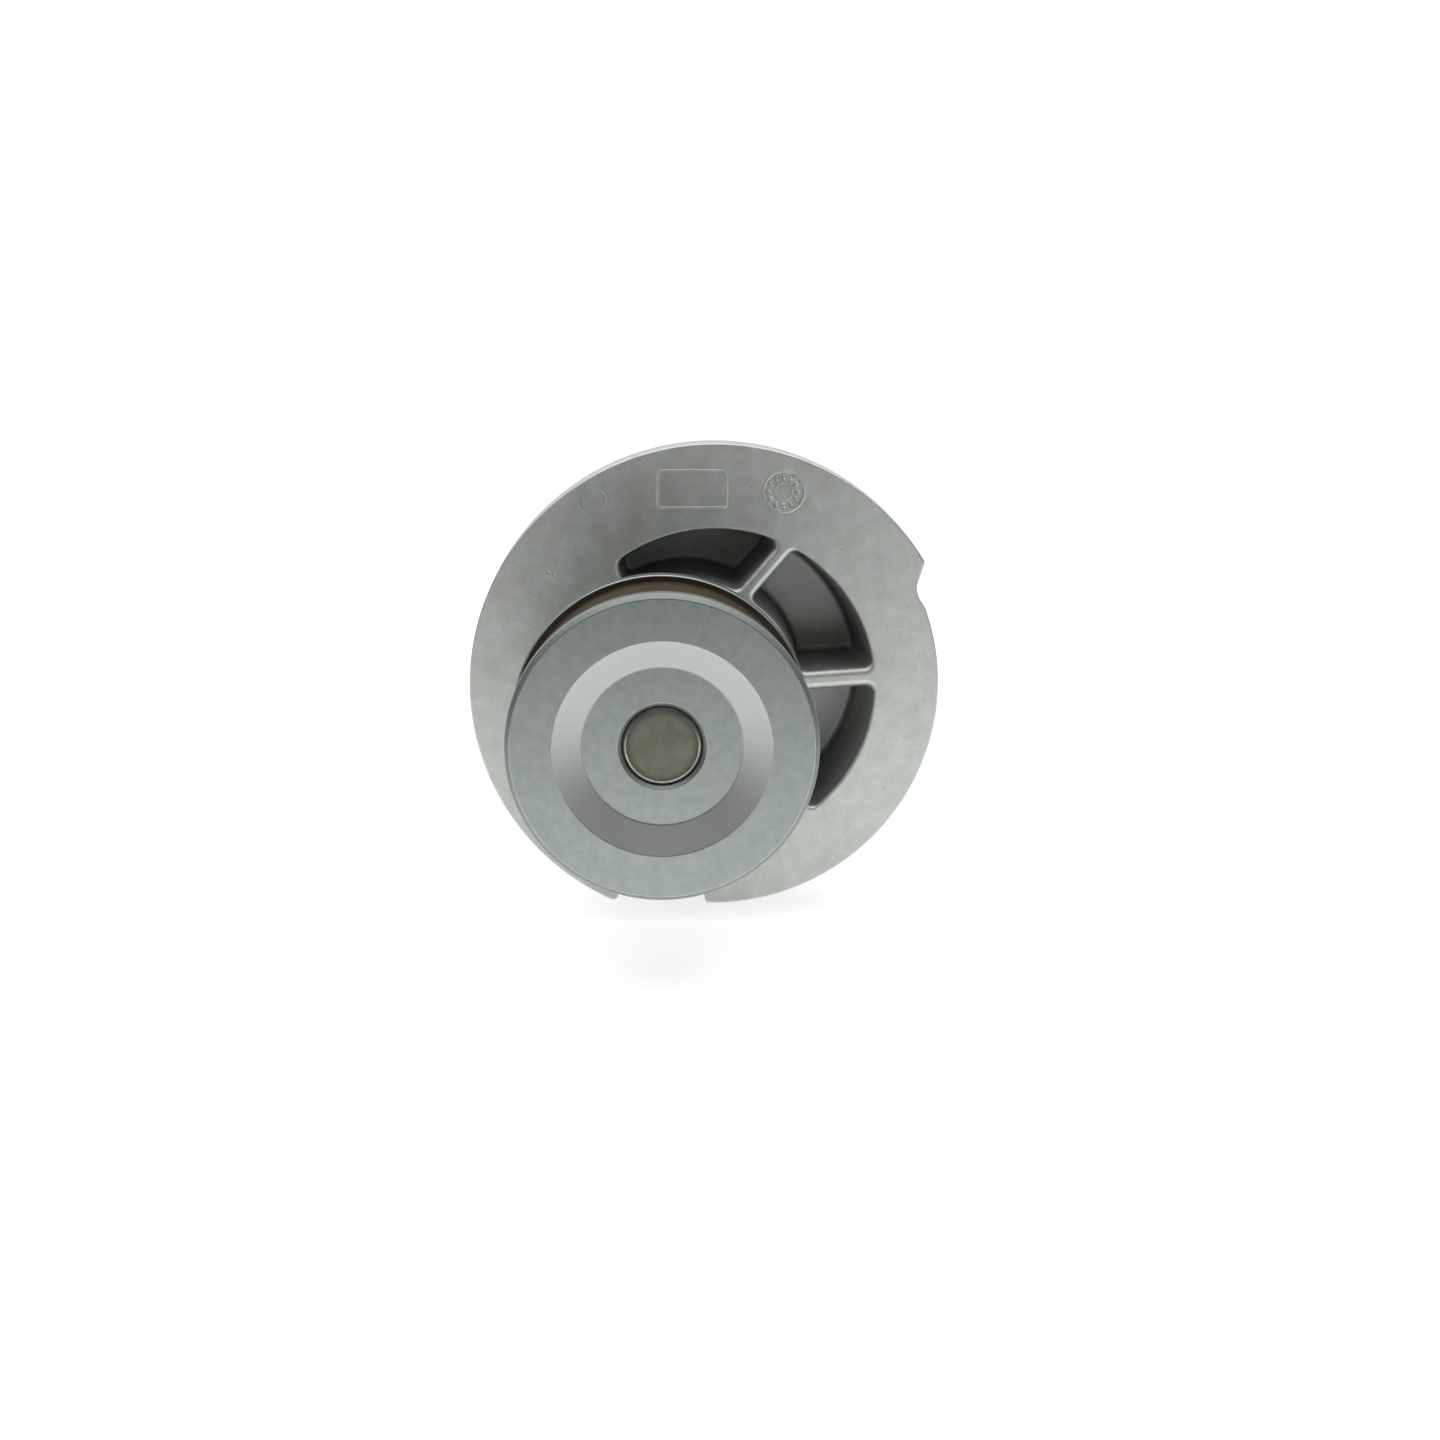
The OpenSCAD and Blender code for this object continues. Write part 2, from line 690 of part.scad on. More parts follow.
// ---- impeller ----

// The turned space that the vanes fill, as a cross-section.
module vane_envelope() {
    root_r = bush_r + 1;
    tip_r = impeller_r - vane_inset;
    rear = impeller_rear + vane_inset;
    polygon([
        [root_r, plate_rear + skin], [tip_r, plate_rear + skin], [tip_r, rear + vane_drop], [root_r, rear]
    ]);
}

// One curved vane: an arc that leaves the hub and leans back towards the rim.
module vane() {
    intersection() {
        rotate_extrude() vane_envelope();
        translate([0, -reach, impeller_rear - skin]) cube([reach, 2 * reach, reach]);
        translate([0, vane_curve_r, impeller_rear - skin]) difference() {
            cylinder(r = vane_curve_r + vane_t / 2, h = reach);
            translate([0, 0, -skin]) cylinder(r = vane_curve_r - vane_t / 2, h = reach + 2 * skin);
        }
    }
}

module impeller() {
    color("#2f3133") installed() on_shaft() union() {
        rotate_extrude() polygon([
            [bush_r + press_gap, hub_face], [boot_well_r, hub_face], [boot_well_r, plate_front],
            [impeller_r, plate_front], [impeller_r, plate_rear], [hub_root_r, plate_rear],
            [impeller_hub_r, plate_rear - hub_cone_h], [impeller_hub_r, impeller_rear],
            [bush_r + press_gap, impeller_rear]
        ]);
        for (i = [0 : vane_count - 1]) rotate(360 / vane_count * i) vane();
    }
}

module impeller_bush() {
    color("#a0a4a8") installed() on_shaft() rotate_extrude()
        ring(shaft_r + press_gap, bush_r, impeller_rear, hub_face);
}

housing();
housing_o_ring();
pulley();
shaft();
bearing_outer_ring();
front_balls();
rear_balls();
front_ball_cage();
rear_ball_cage();
front_bearing_seal();
rear_bearing_seal();
front_seal_stiffener();
rear_seal_stiffener();
slinger();
seal_case();
seal_bellows();
bellows_clamp_ring();
seal_spring();
spring_collar();
carbon_ring();
mating_ring();
mating_ring_boot();
seal_sleeve();
impeller();
impeller_bush();
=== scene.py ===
# %% [markdown]
# # Dressing a coolant pump
#
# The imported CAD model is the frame: every solid is in its final place, in metres, with the shaft
# along Y and the pulley at -Y. Here the pieces that the eye meets are made again with the small
# forms that a casting, a turned part and a moulding have, and every piece gets a finish.
# A solid whose shape is already right keeps its mesh and only gets the finish.

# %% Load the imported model
import math

import bpy
import numpy as np
from mathutils import Matrix, Vector
from mathutils.geometry import tessellate_polygon


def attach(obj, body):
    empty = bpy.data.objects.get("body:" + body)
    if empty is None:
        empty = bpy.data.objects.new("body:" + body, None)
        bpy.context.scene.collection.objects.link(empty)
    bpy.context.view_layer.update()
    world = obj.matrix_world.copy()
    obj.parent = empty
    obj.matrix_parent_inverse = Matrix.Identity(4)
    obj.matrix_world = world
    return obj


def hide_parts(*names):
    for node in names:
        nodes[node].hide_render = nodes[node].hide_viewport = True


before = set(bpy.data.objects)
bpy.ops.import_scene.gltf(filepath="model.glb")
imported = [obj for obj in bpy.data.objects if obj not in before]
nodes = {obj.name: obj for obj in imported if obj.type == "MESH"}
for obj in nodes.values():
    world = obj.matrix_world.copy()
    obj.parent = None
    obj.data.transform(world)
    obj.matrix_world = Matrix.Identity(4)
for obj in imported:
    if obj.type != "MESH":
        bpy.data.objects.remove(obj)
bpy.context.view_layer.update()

# %% [markdown]
# ## Where things are
#
# The pieces are worked out in millimetres on a bench, seat face down: x and y lie in the seat face
# and h is the height above it, towards the pulley. Two axes matter. The flange and its spigot are
# round about the point (0, 0), and everything that turns is round about the shaft, which sits
# 11.9 mm to the left. The eccentricity is what tensions the belt when the pump is turned.

# %% Bench and axes
MM = 0.001
PUMP = np.array([0.0, 0.0])
ECCENTRIC, SHAFT_AT = 11.9, math.radians(182)
SHAFT = ECCENTRIC * np.array([math.cos(SHAFT_AT), math.sin(SHAFT_AT)])
BOSS = SHAFT + np.array([6.0, -1.0])


def lay(points):
    """From the bench into place: (x, y, h) becomes (x, -h, y)."""
    p = np.asarray(points, float)
    return np.stack([p[..., 0], -p[..., 2], p[..., 1]], -1)


def unit(degrees):
    """The unit vector at an angle: its cosine and its sine."""
    a = np.radians(degrees)
    return np.array([np.cos(a), np.sin(a)])


print("shaft axis at", np.round(SHAFT, 3), "boss centre at", np.round(BOSS, 3))

# %% [markdown]
# ## Grids and flats
#
# Two kinds of surface are enough for every piece here. A grid of points, whose rows close on
# themselves, gets faces with four corners between its rows. A flat face between outlines has no
# rows, so it is filled with triangles.

# %% Faces of a grid and of a flat
def strip(rows, columns):
    """Faces of a grid whose rows are closed: each joins two neighbours in one row to the same two in
    the next, and the last column is a neighbour of the first."""
    i, j = np.meshgrid(np.arange(rows - 1), np.arange(columns), indexing="ij")
    k = (j + 1) % columns
    here, below = i * columns, (i + 1) * columns
    return np.stack([here + j, here + k, below + k, below + j], -1).reshape(-1, 4)


def flat_faces(loops):
    """Triangles that fill the first loop and leave out the others, as numbers into all of them in a row."""
    return np.array(tessellate_polygon([[Vector((*p, 0.0)) for p in loop] for loop in loops]), int)


print("a grid of 3 by 4 points has", len(strip(3, 4)), "faces")

# %% [markdown]
# ## A shell made of patches
#
# A casting is one skin of many surfaces: flats, walls, and the fillets between them. Each surface
# is a patch with its own exact normals, so a broad flat next to a narrow fillet shades cleanly.
# The alternative, a Bevel modifier on the CAD mesh, struggles where fillets of different size
# meet. The patches are stitched into one mesh by their shared points.
#
# Each vertex keeps two masks for the materials: how much it lies on a worn edge, and a zone. On the housing
# the zone is 1 where it is machined and -1 inside the pockets, where the finish paints shade that deepens
# with depth. On the pulley and the shaft it is the film that a belt or old oil leaves, which on the pulley's
# chamfer is painted shade, and -1 on the pulley's cone, which is painted brighter as a painted reflection.

# %% Patches and the mesh that they make
NO_AREA, SAME_POINT_DIGITS = 1e-12, 4


class Shell:
    """Collects patches: points, unit normals, faces and two masks."""

    def __init__(self):
        self.patches = []

    def add(self, points, normals, faces, edge=0.0, zone=0.0):
        """Adds a patch. Its normals and masks may be one for all points, or one for each."""
        p = np.asarray(points, float).reshape(-1, 3)
        n = np.broadcast_to(np.asarray(normals, float), np.shape(points)).reshape(-1, 3)
        e = np.broadcast_to(edge, np.shape(points)[:-1]).reshape(-1)
        z = np.broadcast_to(zone, np.shape(points)[:-1]).reshape(-1)
        self.patches.append((p, n, np.asarray(faces, int), e, z))

    def grid(self, points, normals, edge=0.0, zone=0.0):
        """Adds a grid with closed rows. A mask that is a plain list has one value for each row."""
        edge, zone = (np.reshape(mask, (-1, 1)) if np.ndim(mask) == 1 else mask for mask in (edge, zone))
        self.add(points, normals, strip(*np.shape(points)[:2]), edge, zone)

    def flat(self, loops, up, zone=0.0):
        """Fills the level face between the first outline and the others. It looks up or down."""
        self.add(np.concatenate(loops), (0, 0, up), flat_faces([loop[:, :2] for loop in loops]), zone=zone)

    def mesh(self, name):
        """One closed mesh: equal points become one vertex, and each face is wound so that it
        faces the way its normals point. The exact normals stay on the face corners."""
        points, corners, normals, sizes, edges, zones = [], [], [], [], [], []
        start = 0
        for p, n, f, e, z in self.patches:
            a, b, c = (lay(p[f[:, i]]) for i in (0, 1, 2))
            flat = np.cross(b - a, c - a)
            if f.shape[1] == 4:
                flat = np.cross(c - a, lay(p[f[:, 3]]) - b)
            keep = np.linalg.norm(flat, axis=1) > NO_AREA
            wrong = np.einsum("ij,ij->i", flat, lay(n[f].mean(1))) < 0
            f = np.where(wrong[:, None], f[:, ::-1], f)[keep]
            points.append(p)
            corners.append((f + start).ravel())
            normals.append(n[f.ravel()])
            sizes.append(np.full(len(f), f.shape[1]))
            edges.append(e)
            zones.append(z)
            start += len(p)
        points = np.concatenate(points)
        merged = np.round(points, SAME_POINT_DIGITS)
        _, first, same = np.unique(merged, axis=0, return_index=True, return_inverse=True)
        corners = same.ravel()[np.concatenate(corners)]
        sizes = np.concatenate(sizes)
        starts = np.cumsum(sizes) - sizes
        mesh = bpy.data.meshes.new(name)
        mesh.vertices.add(len(first))
        mesh.vertices.foreach_set("co", (lay(points[first]) * MM).ravel())
        mesh.loops.add(len(corners))
        mesh.loops.foreach_set("vertex_index", corners.astype(np.int32))
        mesh.polygons.add(len(sizes))
        mesh.polygons.foreach_set("loop_start", starts.astype(np.int32))
        mesh.update(calc_edges=True)
        for label, values in (("edge", edges), ("zone", zones)):
            layer = mesh.attributes.new(label, "FLOAT", "POINT")
            layer.data.foreach_set("value", np.concatenate(values)[first].astype(np.float32))
        mesh.shade_smooth()
        bad = mesh.validate(verbose=False, clean_customdata=False)
        exact = lay(np.concatenate(normals))
        exact /= np.linalg.norm(exact, axis=1, keepdims=True)
        if not bad:
            mesh.normals_split_custom_set(exact.astype(np.float32))
        return mesh, bad


print("a patch may be any grid or flat; equal points merge at", 10.0 ** -SAME_POINT_DIGITS, "mm")

# %% [markdown]
# A skin that is closed and looks outwards can be told by two numbers. Every edge of it has exactly
# two faces, and the cones from the origin to its faces add up to the volume of the solid. Both are
# printed for every piece that is made.

# %% Two measures, and the piece that is made of a shell
def open_edges(mesh):
    """How many edges don't have exactly two faces. A closed skin has none."""
    edge_of = np.empty(len(mesh.loops), np.int32)
    mesh.loops.foreach_get("edge_index", edge_of)
    return int((np.bincount(edge_of, minlength=len(mesh.edges)) != 2).sum())


def volume(mesh):
    """The volume inside, in cubic centimetres: the sum of the cones from the origin to each face."""
    mesh.calc_loop_triangles()
    tris = np.empty(len(mesh.loop_triangles) * 3, np.int32)
    mesh.loop_triangles.foreach_get("vertices", tris)
    co = np.empty(len(mesh.vertices) * 3)
    mesh.vertices.foreach_get("co", co)
    a, b, c = co.reshape(-1, 3)[tris.reshape(-1, 3).T]
    return float(np.einsum("ij,ij->i", a, np.cross(b, c)).sum() / 6 * 1e6)


def piece(shell, name, body, replaces, finish):
    """Makes the object, gives it its finish, and ties it to its body and its solid."""
    mesh, bad = shell.mesh(name)
    mesh.materials.append(finish)
    made = bpy.data.objects.new(name, mesh)
    bpy.context.scene.collection.objects.link(made)
    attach(made, body)
    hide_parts(*replaces)
    print(f"{name}: {len(mesh.polygons)} faces, {open_edges(mesh)} open edges, "
          f"{volume(mesh):.2f} cm3, mended={bad}")


print("a closed skin has 0 open edges, and its volume is above 0")

# %% [markdown]
# ## Outlines with rounded corners
#
# The flange and its pockets are bounded by circle arcs and straight lines, with a radius in every
# corner because molten metal doesn't fill a sharp one. A corner's centre lies at the radius from
# both curves, so it is found where the two curves cross after both are moved inwards by it.
# Worked out that way, the same outline can be grown or shrunk and keeps its number of points,
# and a wall or a fillet is a stack of such outlines.

# %% Lines, arcs and where they meet
def arc(centre, radius, way=1):
    """A circle walked counter-clockwise, or clockwise where way is -1."""
    return ("arc", np.asarray(centre, float), float(radius), way)


def line(point, degrees):
    """A straight line through a point, walked at an angle."""
    return ("line", np.asarray(point, float), unit(degrees))


def aside(curve, shift):
    """The curve moved to its left: a line by its left normal, a circle by its radius."""
    if curve[0] == "arc":
        return ("arc", curve[1], curve[2] - curve[3] * shift, curve[3])
    return ("line", curve[1] + shift * np.array([-curve[2][1], curve[2][0]]), curve[2])


def meet(a, b, near):
    """The crossing of two curves nearest to a point: the foot of the chord, give or take half of it."""
    if a[0] == "arc" and b[0] == "line":
        a, b = b, a
    if a[0] == "line" and b[0] == "line":
        t = np.linalg.solve(np.stack([a[2], -b[2]], 1), b[1] - a[1])
        return a[1] + t[0] * a[2]
    if a[0] == "line":
        foot = a[1] + a[2] * ((b[1] - a[1]) @ a[2])
        along, half = a[2], math.sqrt(max(b[2] ** 2 - ((b[1] - foot) ** 2).sum(), 0))
    else:
        gap = np.linalg.norm(b[1] - a[1])
        towards = (b[1] - a[1]) / gap
        reach = (gap ** 2 + a[2] ** 2 - b[2] ** 2) / (2 * gap)
        foot = a[1] + reach * towards
        along, half = np.array([-towards[1], towards[0]]), math.sqrt(max(a[2] ** 2 - reach ** 2, 0))
    return min((foot + half * along, foot - half * along), key=lambda p: ((p - near) ** 2).sum())


def touch(curve, point):
    """The nearest point of the curve to a point."""
    if curve[0] == "line":
        return curve[1] + curve[2] * ((point - curve[1]) @ curve[2])
    out = point - curve[1]
    return curve[1] + curve[2] * out / np.linalg.norm(out)


def swing(centre, start, end, way, steps):
    """Points on a circle from start to end, and the directions to them from the centre."""
    a = math.atan2(*(start - centre)[::-1])
    b = math.atan2(*(end - centre)[::-1])
    turn = way * ((way * (b - a)) % (2 * math.pi))
    angles = a + turn * np.arange(steps) / steps
    out = np.stack([np.cos(angles), np.sin(angles)], 1)
    return centre + np.linalg.norm(start - centre) * out, out


print("a line and a circle meet at", meet(line((0, 3), 0), arc((0, 0), 5), (4, 3)))

# %% [markdown]
# The rounded outline itself walks from curve to curve. It takes each corner's centre, the two
# points where the corner's arc touches its curves, and puts steps between them.

# %% The rounded outline
def outline(curves, near, radii, steps, bend=6):
    """A closed outline, walked with its inside on the left. Corner k joins curve k to the next one
    and has radius k, below zero where the outline turns right. Gives points and outward normals."""
    n = len(curves)
    ends = []
    for k in range(n):
        a, b = curves[k], curves[(k + 1) % n]
        centre = meet(aside(a, radii[k]), aside(b, radii[k]), np.asarray(near[k], float))
        ends.append((touch(a, centre), touch(b, centre), centre))
    points, normals = [], []
    for k in range(n):
        start, end = ends[k - 1][1], ends[k][0]
        if curves[k][0] == "line":
            t = np.arange(steps[k])[:, None] / steps[k]
            points.append(start + t * (end - start))
            normals.append(np.broadcast_to([curves[k][2][1], -curves[k][2][0]], (steps[k], 2)))
        else:
            p, out = swing(curves[k][1], start, end, curves[k][3], steps[k])
            points.append(p)
            normals.append(curves[k][3] * out)
        if radii[k]:
            way = 1 if radii[k] > 0 else -1
            p, out = swing(ends[k][2], ends[k][0], ends[k][1], way, bend)
            points.append(p)
            normals.append(way * out)
    return np.concatenate(points), np.concatenate(normals)


rounded, _ = outline([line((5, 0), 90), line((0, 5), 180), line((-5, 0), 270), line((0, -5), 0)],
                     [(5, 5), (-5, 5), (-5, -5), (5, -5)], [1] * 4, [1] * 4)
print("a rounded square:", len(rounded), "points,", np.ptp(rounded, axis=0), "mm across")

# %% [markdown]
# ## Cross-sections
#
# A turned form is one cross-section carried round its axis, and the wall of a casting is one
# outline repeated at several heights. Both come out as a grid of points and a grid of normals,
# which is what a shell takes.

# %% Cross-sections, turned forms and stacked outlines
def profile(corners, radii, side=1, steps=5, closed=False):
    """A turned cross-section: straight lines with an arc in every corner. The outside is to the left
    of the walk where side is 1. Gives points, outward normals, and a mask that is 1 on the middle of
    the corners that stick out."""
    c = np.asarray(corners, float)
    points, normals, edge = [], [], []
    for k in range(len(c)):
        if not closed and k in (0, len(c) - 1):
            other = c[1] - c[0] if k == 0 else c[-1] - c[-2]
            d = other / np.linalg.norm(other)
            points.append(c[k][None])
            normals.append(side * np.array([[-d[1], d[0]]]))
            edge.append(np.zeros(1))
            continue
        u = c[k] - c[k - 1]
        v = c[(k + 1) % len(c)] - c[k]
        u, v = u / np.linalg.norm(u), v / np.linalg.norm(v)
        cross = u[0] * v[1] - u[1] * v[0]
        turn = math.atan2(cross, u @ v)
        left = np.array([-u[1], u[0]])
        sign = 1 if turn > 0 else -1
        centre = c[k] - u * radii[k] * math.tan(abs(turn) / 2) + sign * radii[k] * left
        a = np.linspace(0, turn, steps + 1)
        out = np.cos(a)[:, None] * left + np.sin(a)[:, None] * np.array([-left[1], left[0]])
        points.append(centre - sign * radii[k] * out)
        normals.append(side * out)
        edge.append(np.sin(np.linspace(0, math.pi, steps + 1)) * (sign * side < 0))
    return np.concatenate(points), np.concatenate(normals), np.concatenate(edge)


def turned(section, centre, angles):
    """A cross-section (radius, height) carried round a centre: cosine and sine of the angle times
    the radius. Gives a grid of points and one of normals, a row for each point of the section."""
    p, n = section
    c, s = np.cos(angles), np.sin(angles)

    def carry(q, middle):
        return np.stack([middle[0] + q[:, :1] * c, middle[1] + q[:, :1] * s, q[:, 1:] + 0 * c], -1)

    return carry(p, centre), carry(n, (0.0, 0.0))


def stacked(points, normals, inset, height, out, up):
    """An outline repeated at several heights: each row is drawn in by its inset along the outline's
    normals, and its surface normal has the parts out (along them) and up."""
    inset, height, out, up = (np.asarray(v, float)[:, None] for v in (inset, height, out, up))
    p = np.stack([points[:, 0] - inset * normals[:, 0], points[:, 1] - inset * normals[:, 1],
                  height + 0 * points[:, 0]], -1)
    n = np.stack([out * normals[:, 0], out * normals[:, 1], up + 0 * points[:, 0]], -1)
    return p, n


def quarter(steps):
    """Angles from nothing to a quarter turn."""
    return np.linspace(0, math.pi / 2, steps)


print("a quarter turn in three angles:", np.degrees(quarter(3)))

# %% [markdown]
# ## The housing
#
# The housing is die-cast aluminium. Its flange has a small round lobe and a large one: turned in
# the block, the large lobe meets a stop at the step on the right. A notch under the shaft takes
# the pin that lines the pump up. Four pockets keep the wall thickness even, and the ribs between
# them tie the bearing boss to the rim. Its rear carries a machined seat face and the spigot with
# the groove for the sealing ring. It could be cut from discs with Boolean modifiers, but those
# leave no fillets, and without fillets nothing looks cast. So its skin is built from outlines.

# %% Sizes of the housing
LARGE_R, SMALL_R, FLANGE_T = 53.5, 49.3, 8.0
EDGE_FRONT, EDGE_REAR = 0.45, 0.5
SPIGOT_R, GROOVE_R, RIM_R, WEB_H = 42.0, 39.2, 37.5, -19.5
SPIGOT_END, RING_H, GROOVE_HALF = -21.0, -11.0, 2.35
POCKET_FLOOR, POCKET_R, POCKET_FLOOR_R = -15.5, 35.2, 33.4
BOSS_LEAN = 1.0
NOSE_TOP, HEX_TOP, HEX_FLAT, HEX_TURNED = 36.0, 20.0, 20.5, 22.6
BEARING_R, BEARING_STOP, SEAL_R, SEAL_END, LEAD_IN_R = 15.02, -7.6, 18.3, -18.68, 21.1
MARK_ROW = 43.15
print("flange", 2 * LARGE_R, "mm wide and", FLANGE_T, "mm thick, spigot", 2 * SPIGOT_R, "mm")

# %% [markdown]
# The outline of the flange has seven curves. Below the step the small lobe is scooped out by a
# small radius, which runs out into the riser: a cutter or a mould pin needs that room to make
# the step's foot sharp enough for its stop. The list gives each curve, roughly where its corner
# with the next one lies, the radius of that corner, and the number of steps along the curve.

# %% The flange's outline
STEP_AT, STEP_LEAN = 26.7, 72
SCOOP_R, SCOOP_DEEP = 5.0, 0.45
NOTCH_HALF, NOTCH_TOP = 9.65, -45.2
riser = line(SMALL_R * unit(STEP_AT), STEP_LEAN)
scoop_at = meet(arc(PUMP, SMALL_R - SCOOP_DEEP + SCOOP_R), aside(riser, -SCOOP_R), (49, 21))
FLANGE = [
    (arc(PUMP, LARGE_R), (-21.5, -49), 1.2, 190),
    (line((SHAFT[0] - NOTCH_HALF, 0), 90), (-21.5, -45.2), -1.0, 3),
    (line((0, NOTCH_TOP), 0), (-2.2, -45.2), -1.0, 12),
    (line((SHAFT[0] + NOTCH_HALF, 0), 270), (-2.2, -49.2), 1.2, 3),
    (arc(PUMP, SMALL_R), (46.3, 17), 6.0, 96),
    (arc(scoop_at, SCOOP_R, -1), (44, 22), 0, 10),
    (riser, (45.8, 27.6), 1.5, 5)]
flange_line, flange_out = outline(*zip(*FLANGE))
print("flange:", len(flange_line), "points,", np.round(np.ptp(flange_line, axis=0), 2), "mm across")

# %% [markdown]
# A pocket is bounded by the outer wall, the boss and the sides of two ribs. Its outline is grown
# at the mouth, which rounds the edge: by most along the ribs, whose backs are almost round, and by
# least beside the hexagon, except at the top, where the far end opens like a fan. It is drawn in
# again at the floor, which fills the corner. The walls lean by a degree or two so that the part
# leaves the mould.

# %% Pocket outlines at every level
# Each rib: its angle about the shaft, its thickness, how far its side is drawn back at the mouth,
# and by how many degrees that side swings open there.
RIBS = ((-106, 0.0, 0.6, 0), (-41, 3.4, 1.3, 0), (3.5, 4.2, 1.7, 0), (49, 3.3, 1.4, 0), (108, 0.0, 0.3, 9))
# Each pocket: the radii of its four corners, its floor's fillet, how deep its mouth's rounding
# goes, and the boss's radius there with the amount that the rounding takes from it.
POCKETS = (
    ((1.2, 1.2, 1.2, 1.2), 0.6, 1.0, (25.0, 0.4)),
    ((1.8, 1.8, 1.8, 1.8), 1.5, 1.0, (25.0, 0.4)),
    ((1.8, 1.8, 1.8, 1.8), 1.5, 1.0, (25.0, 0.4)),
    ((1.8, 2.6, 1.9, 1.8), 1.5, 1.2, (25.4, 0.8)))
MOUTH_WALL, SWING_AT = 0.6, 21


def pocket_outline(low, high, wall, boss, drawn, corners, swung):
    """One pocket between two ribs, with the outer wall and the boss at their radii, the ribs' sides
    drawn back from their middles, and a radius in each corner."""
    lower = aside(line(SHAFT, low[0]), low[1] / 2 + drawn[0])
    upper = aside(line(SHAFT + SWING_AT * unit(high[0]), high[0] + swung + 180), high[1] / 2 + drawn[1])
    near = [SHAFT + reach * unit(rib[0]) for reach, rib in ((50, low), (50, high), (22, high), (22, low))]
    return outline([lower, arc(PUMP, wall), upper, arc(BOSS, boss, -1)], near, corners, [1, 26, 1, 20])


def pocket_levels(fillet, deep):
    """Level by level from the mouth down: how much of the mouth's growth is there, how far the floor's
    fillet has drawn the outline in, the height, and the parts of the normal that point in and up."""
    t = quarter(7)
    mouth = [(1 - math.sin(a), 0.0, FLANGE_T - deep * (1 - math.cos(a)), math.sin(a), math.cos(a)) for a in t]
    floor = [(0.0, fillet * (1 - math.cos(a)), POCKET_FLOOR + fillet * (1 - math.sin(a)),
              math.cos(a), math.sin(a)) for a in t]
    return mouth + floor


def cut_pocket(shell, low, high, corners, fillet, deep, at_boss):
    """Adds a pocket's walls and floor to the shell, and gives the outline of its mouth."""
    rows, normals, edges = [], [], []
    for mouth, filled, height, inwards, up in pocket_levels(fillet, deep):
        sunk = (FLANGE_T - height) / (FLANGE_T - POCKET_FLOOR)
        wall = POCKET_R + (POCKET_FLOOR_R - POCKET_R) * sunk + MOUTH_WALL * mouth - filled
        boss = at_boss[0] + BOSS_LEAN * sunk - at_boss[1] * mouth + filled
        drawn = [filled - rib[2] * mouth for rib in (low, high)]
        radii = [corner + 0.5 * mouth - 0.8 * filled for corner in corners]
        p, n = pocket_outline(low, high, wall, boss, drawn, radii, high[3] * mouth)
        rows.append(np.column_stack([p, np.full(len(p), height)]))
        normals.append(np.column_stack([-inwards * n, np.full(len(p), up)]))
        edges.append(2 * inwards * up * (mouth > 0))
    rows = np.array(rows)
    # Below the mouth the zone is -1, and there the finish paints shade.
    inside = rows[..., 2] < FLANGE_T - 0.9 * deep
    shell.grid(rows, np.array(normals), edge=edges, zone=-1.0 * inside)
    shell.flat([rows[-1]], 1, zone=-1.0)
    return rows[0]


housing = Shell()
mouths = [cut_pocket(housing, low, high, *pocket) for low, high, pocket in zip(RIBS, RIBS[1:], POCKETS)]
print("pockets:", len(mouths), "of", len(mouths[0]), "points each")

# %% [markdown]
# The nose carries the bearing. Round its root stands a hexagon for the wrench that sets the belt's
# tension. The hexagon's corners are turned off, so each outline row has six flats, six arcs and
# twelve small corners. The same angles are used for the round rows of the nose and its bore.

# %% Hexagon and nose
HEX_CORNER, HEX_ROOT, HEX_EDGE = 0.5, 0.2, 0.4
hex_curves, hex_near = [], []
for k in range(6):
    hex_curves += [line(SHAFT + HEX_FLAT * unit(60 * k + 30), 60 * k + 120), arc(SHAFT, HEX_TURNED)]
    hex_near += [SHAFT + HEX_TURNED * unit(60 * k + 55), SHAFT + HEX_TURNED * unit(60 * k + 65)]
hex_line, hex_out = outline(hex_curves, hex_near, [HEX_CORNER] * 12, [16, 4] * 6, bend=2)
hex_angle = np.arctan2(*(hex_line - SHAFT).T[::-1])

wall, top = quarter(4), quarter(5)
hex_rows = stacked(
    hex_line, hex_out,
    np.r_[-HEX_ROOT * (1 - np.sin(wall)), HEX_EDGE * (1 - np.cos(top))],
    np.r_[FLANGE_T + HEX_ROOT * (1 - np.cos(wall)), HEX_TOP - HEX_EDGE * (1 - np.sin(top))],
    np.r_[np.sin(wall), np.cos(top)], np.r_[np.cos(wall), np.sin(top)])
housing.grid(*hex_rows, edge=np.r_[0 * wall, np.sin(2 * top)])

NOSE = [
    ((19.9, HEX_TOP), 0), ((18.96, HEX_TOP), 0.6), ((18.6, NOSE_TOP), 0.8), ((BEARING_R, NOSE_TOP), 0.35),
    ((BEARING_R, BEARING_STOP), 0.2), ((SEAL_R, BEARING_STOP), 0.3), ((SEAL_R, SEAL_END), 0.2),
    ((LEAD_IN_R, SEAL_END), 0.2), ((LEAD_IN_R, WEB_H), 0.15), ((22.0, WEB_H), 0)]
nose_p, nose_n, nose_e = profile(*zip(*NOSE), side=-1)
nose_rows = turned((nose_p, nose_n), SHAFT, hex_angle)
nose_r, nose_h = nose_p.T
bored = (nose_h < NOSE_TOP - 0.1) & (nose_r < 18.5)
faced = (nose_h < WEB_H + 1) | (nose_h > NOSE_TOP - 0.4)
housing.grid(*nose_rows, edge=nose_e, zone=1.0 * (bored | faced))
top_ring = np.stack([hex_rows[0][-1], nose_rows[0][0]])
housing.grid(top_ring, (0, 0, 1))
print("nose rows:", len(nose_p), "columns:", len(hex_line))

# %% [markdown]
# Outside, the flange's outline runs down over its edge to the seat face. From there on everything
# is round: the spigot's section is a short list of corners, each with its small radius, and it is
# carried round the flange's centre.

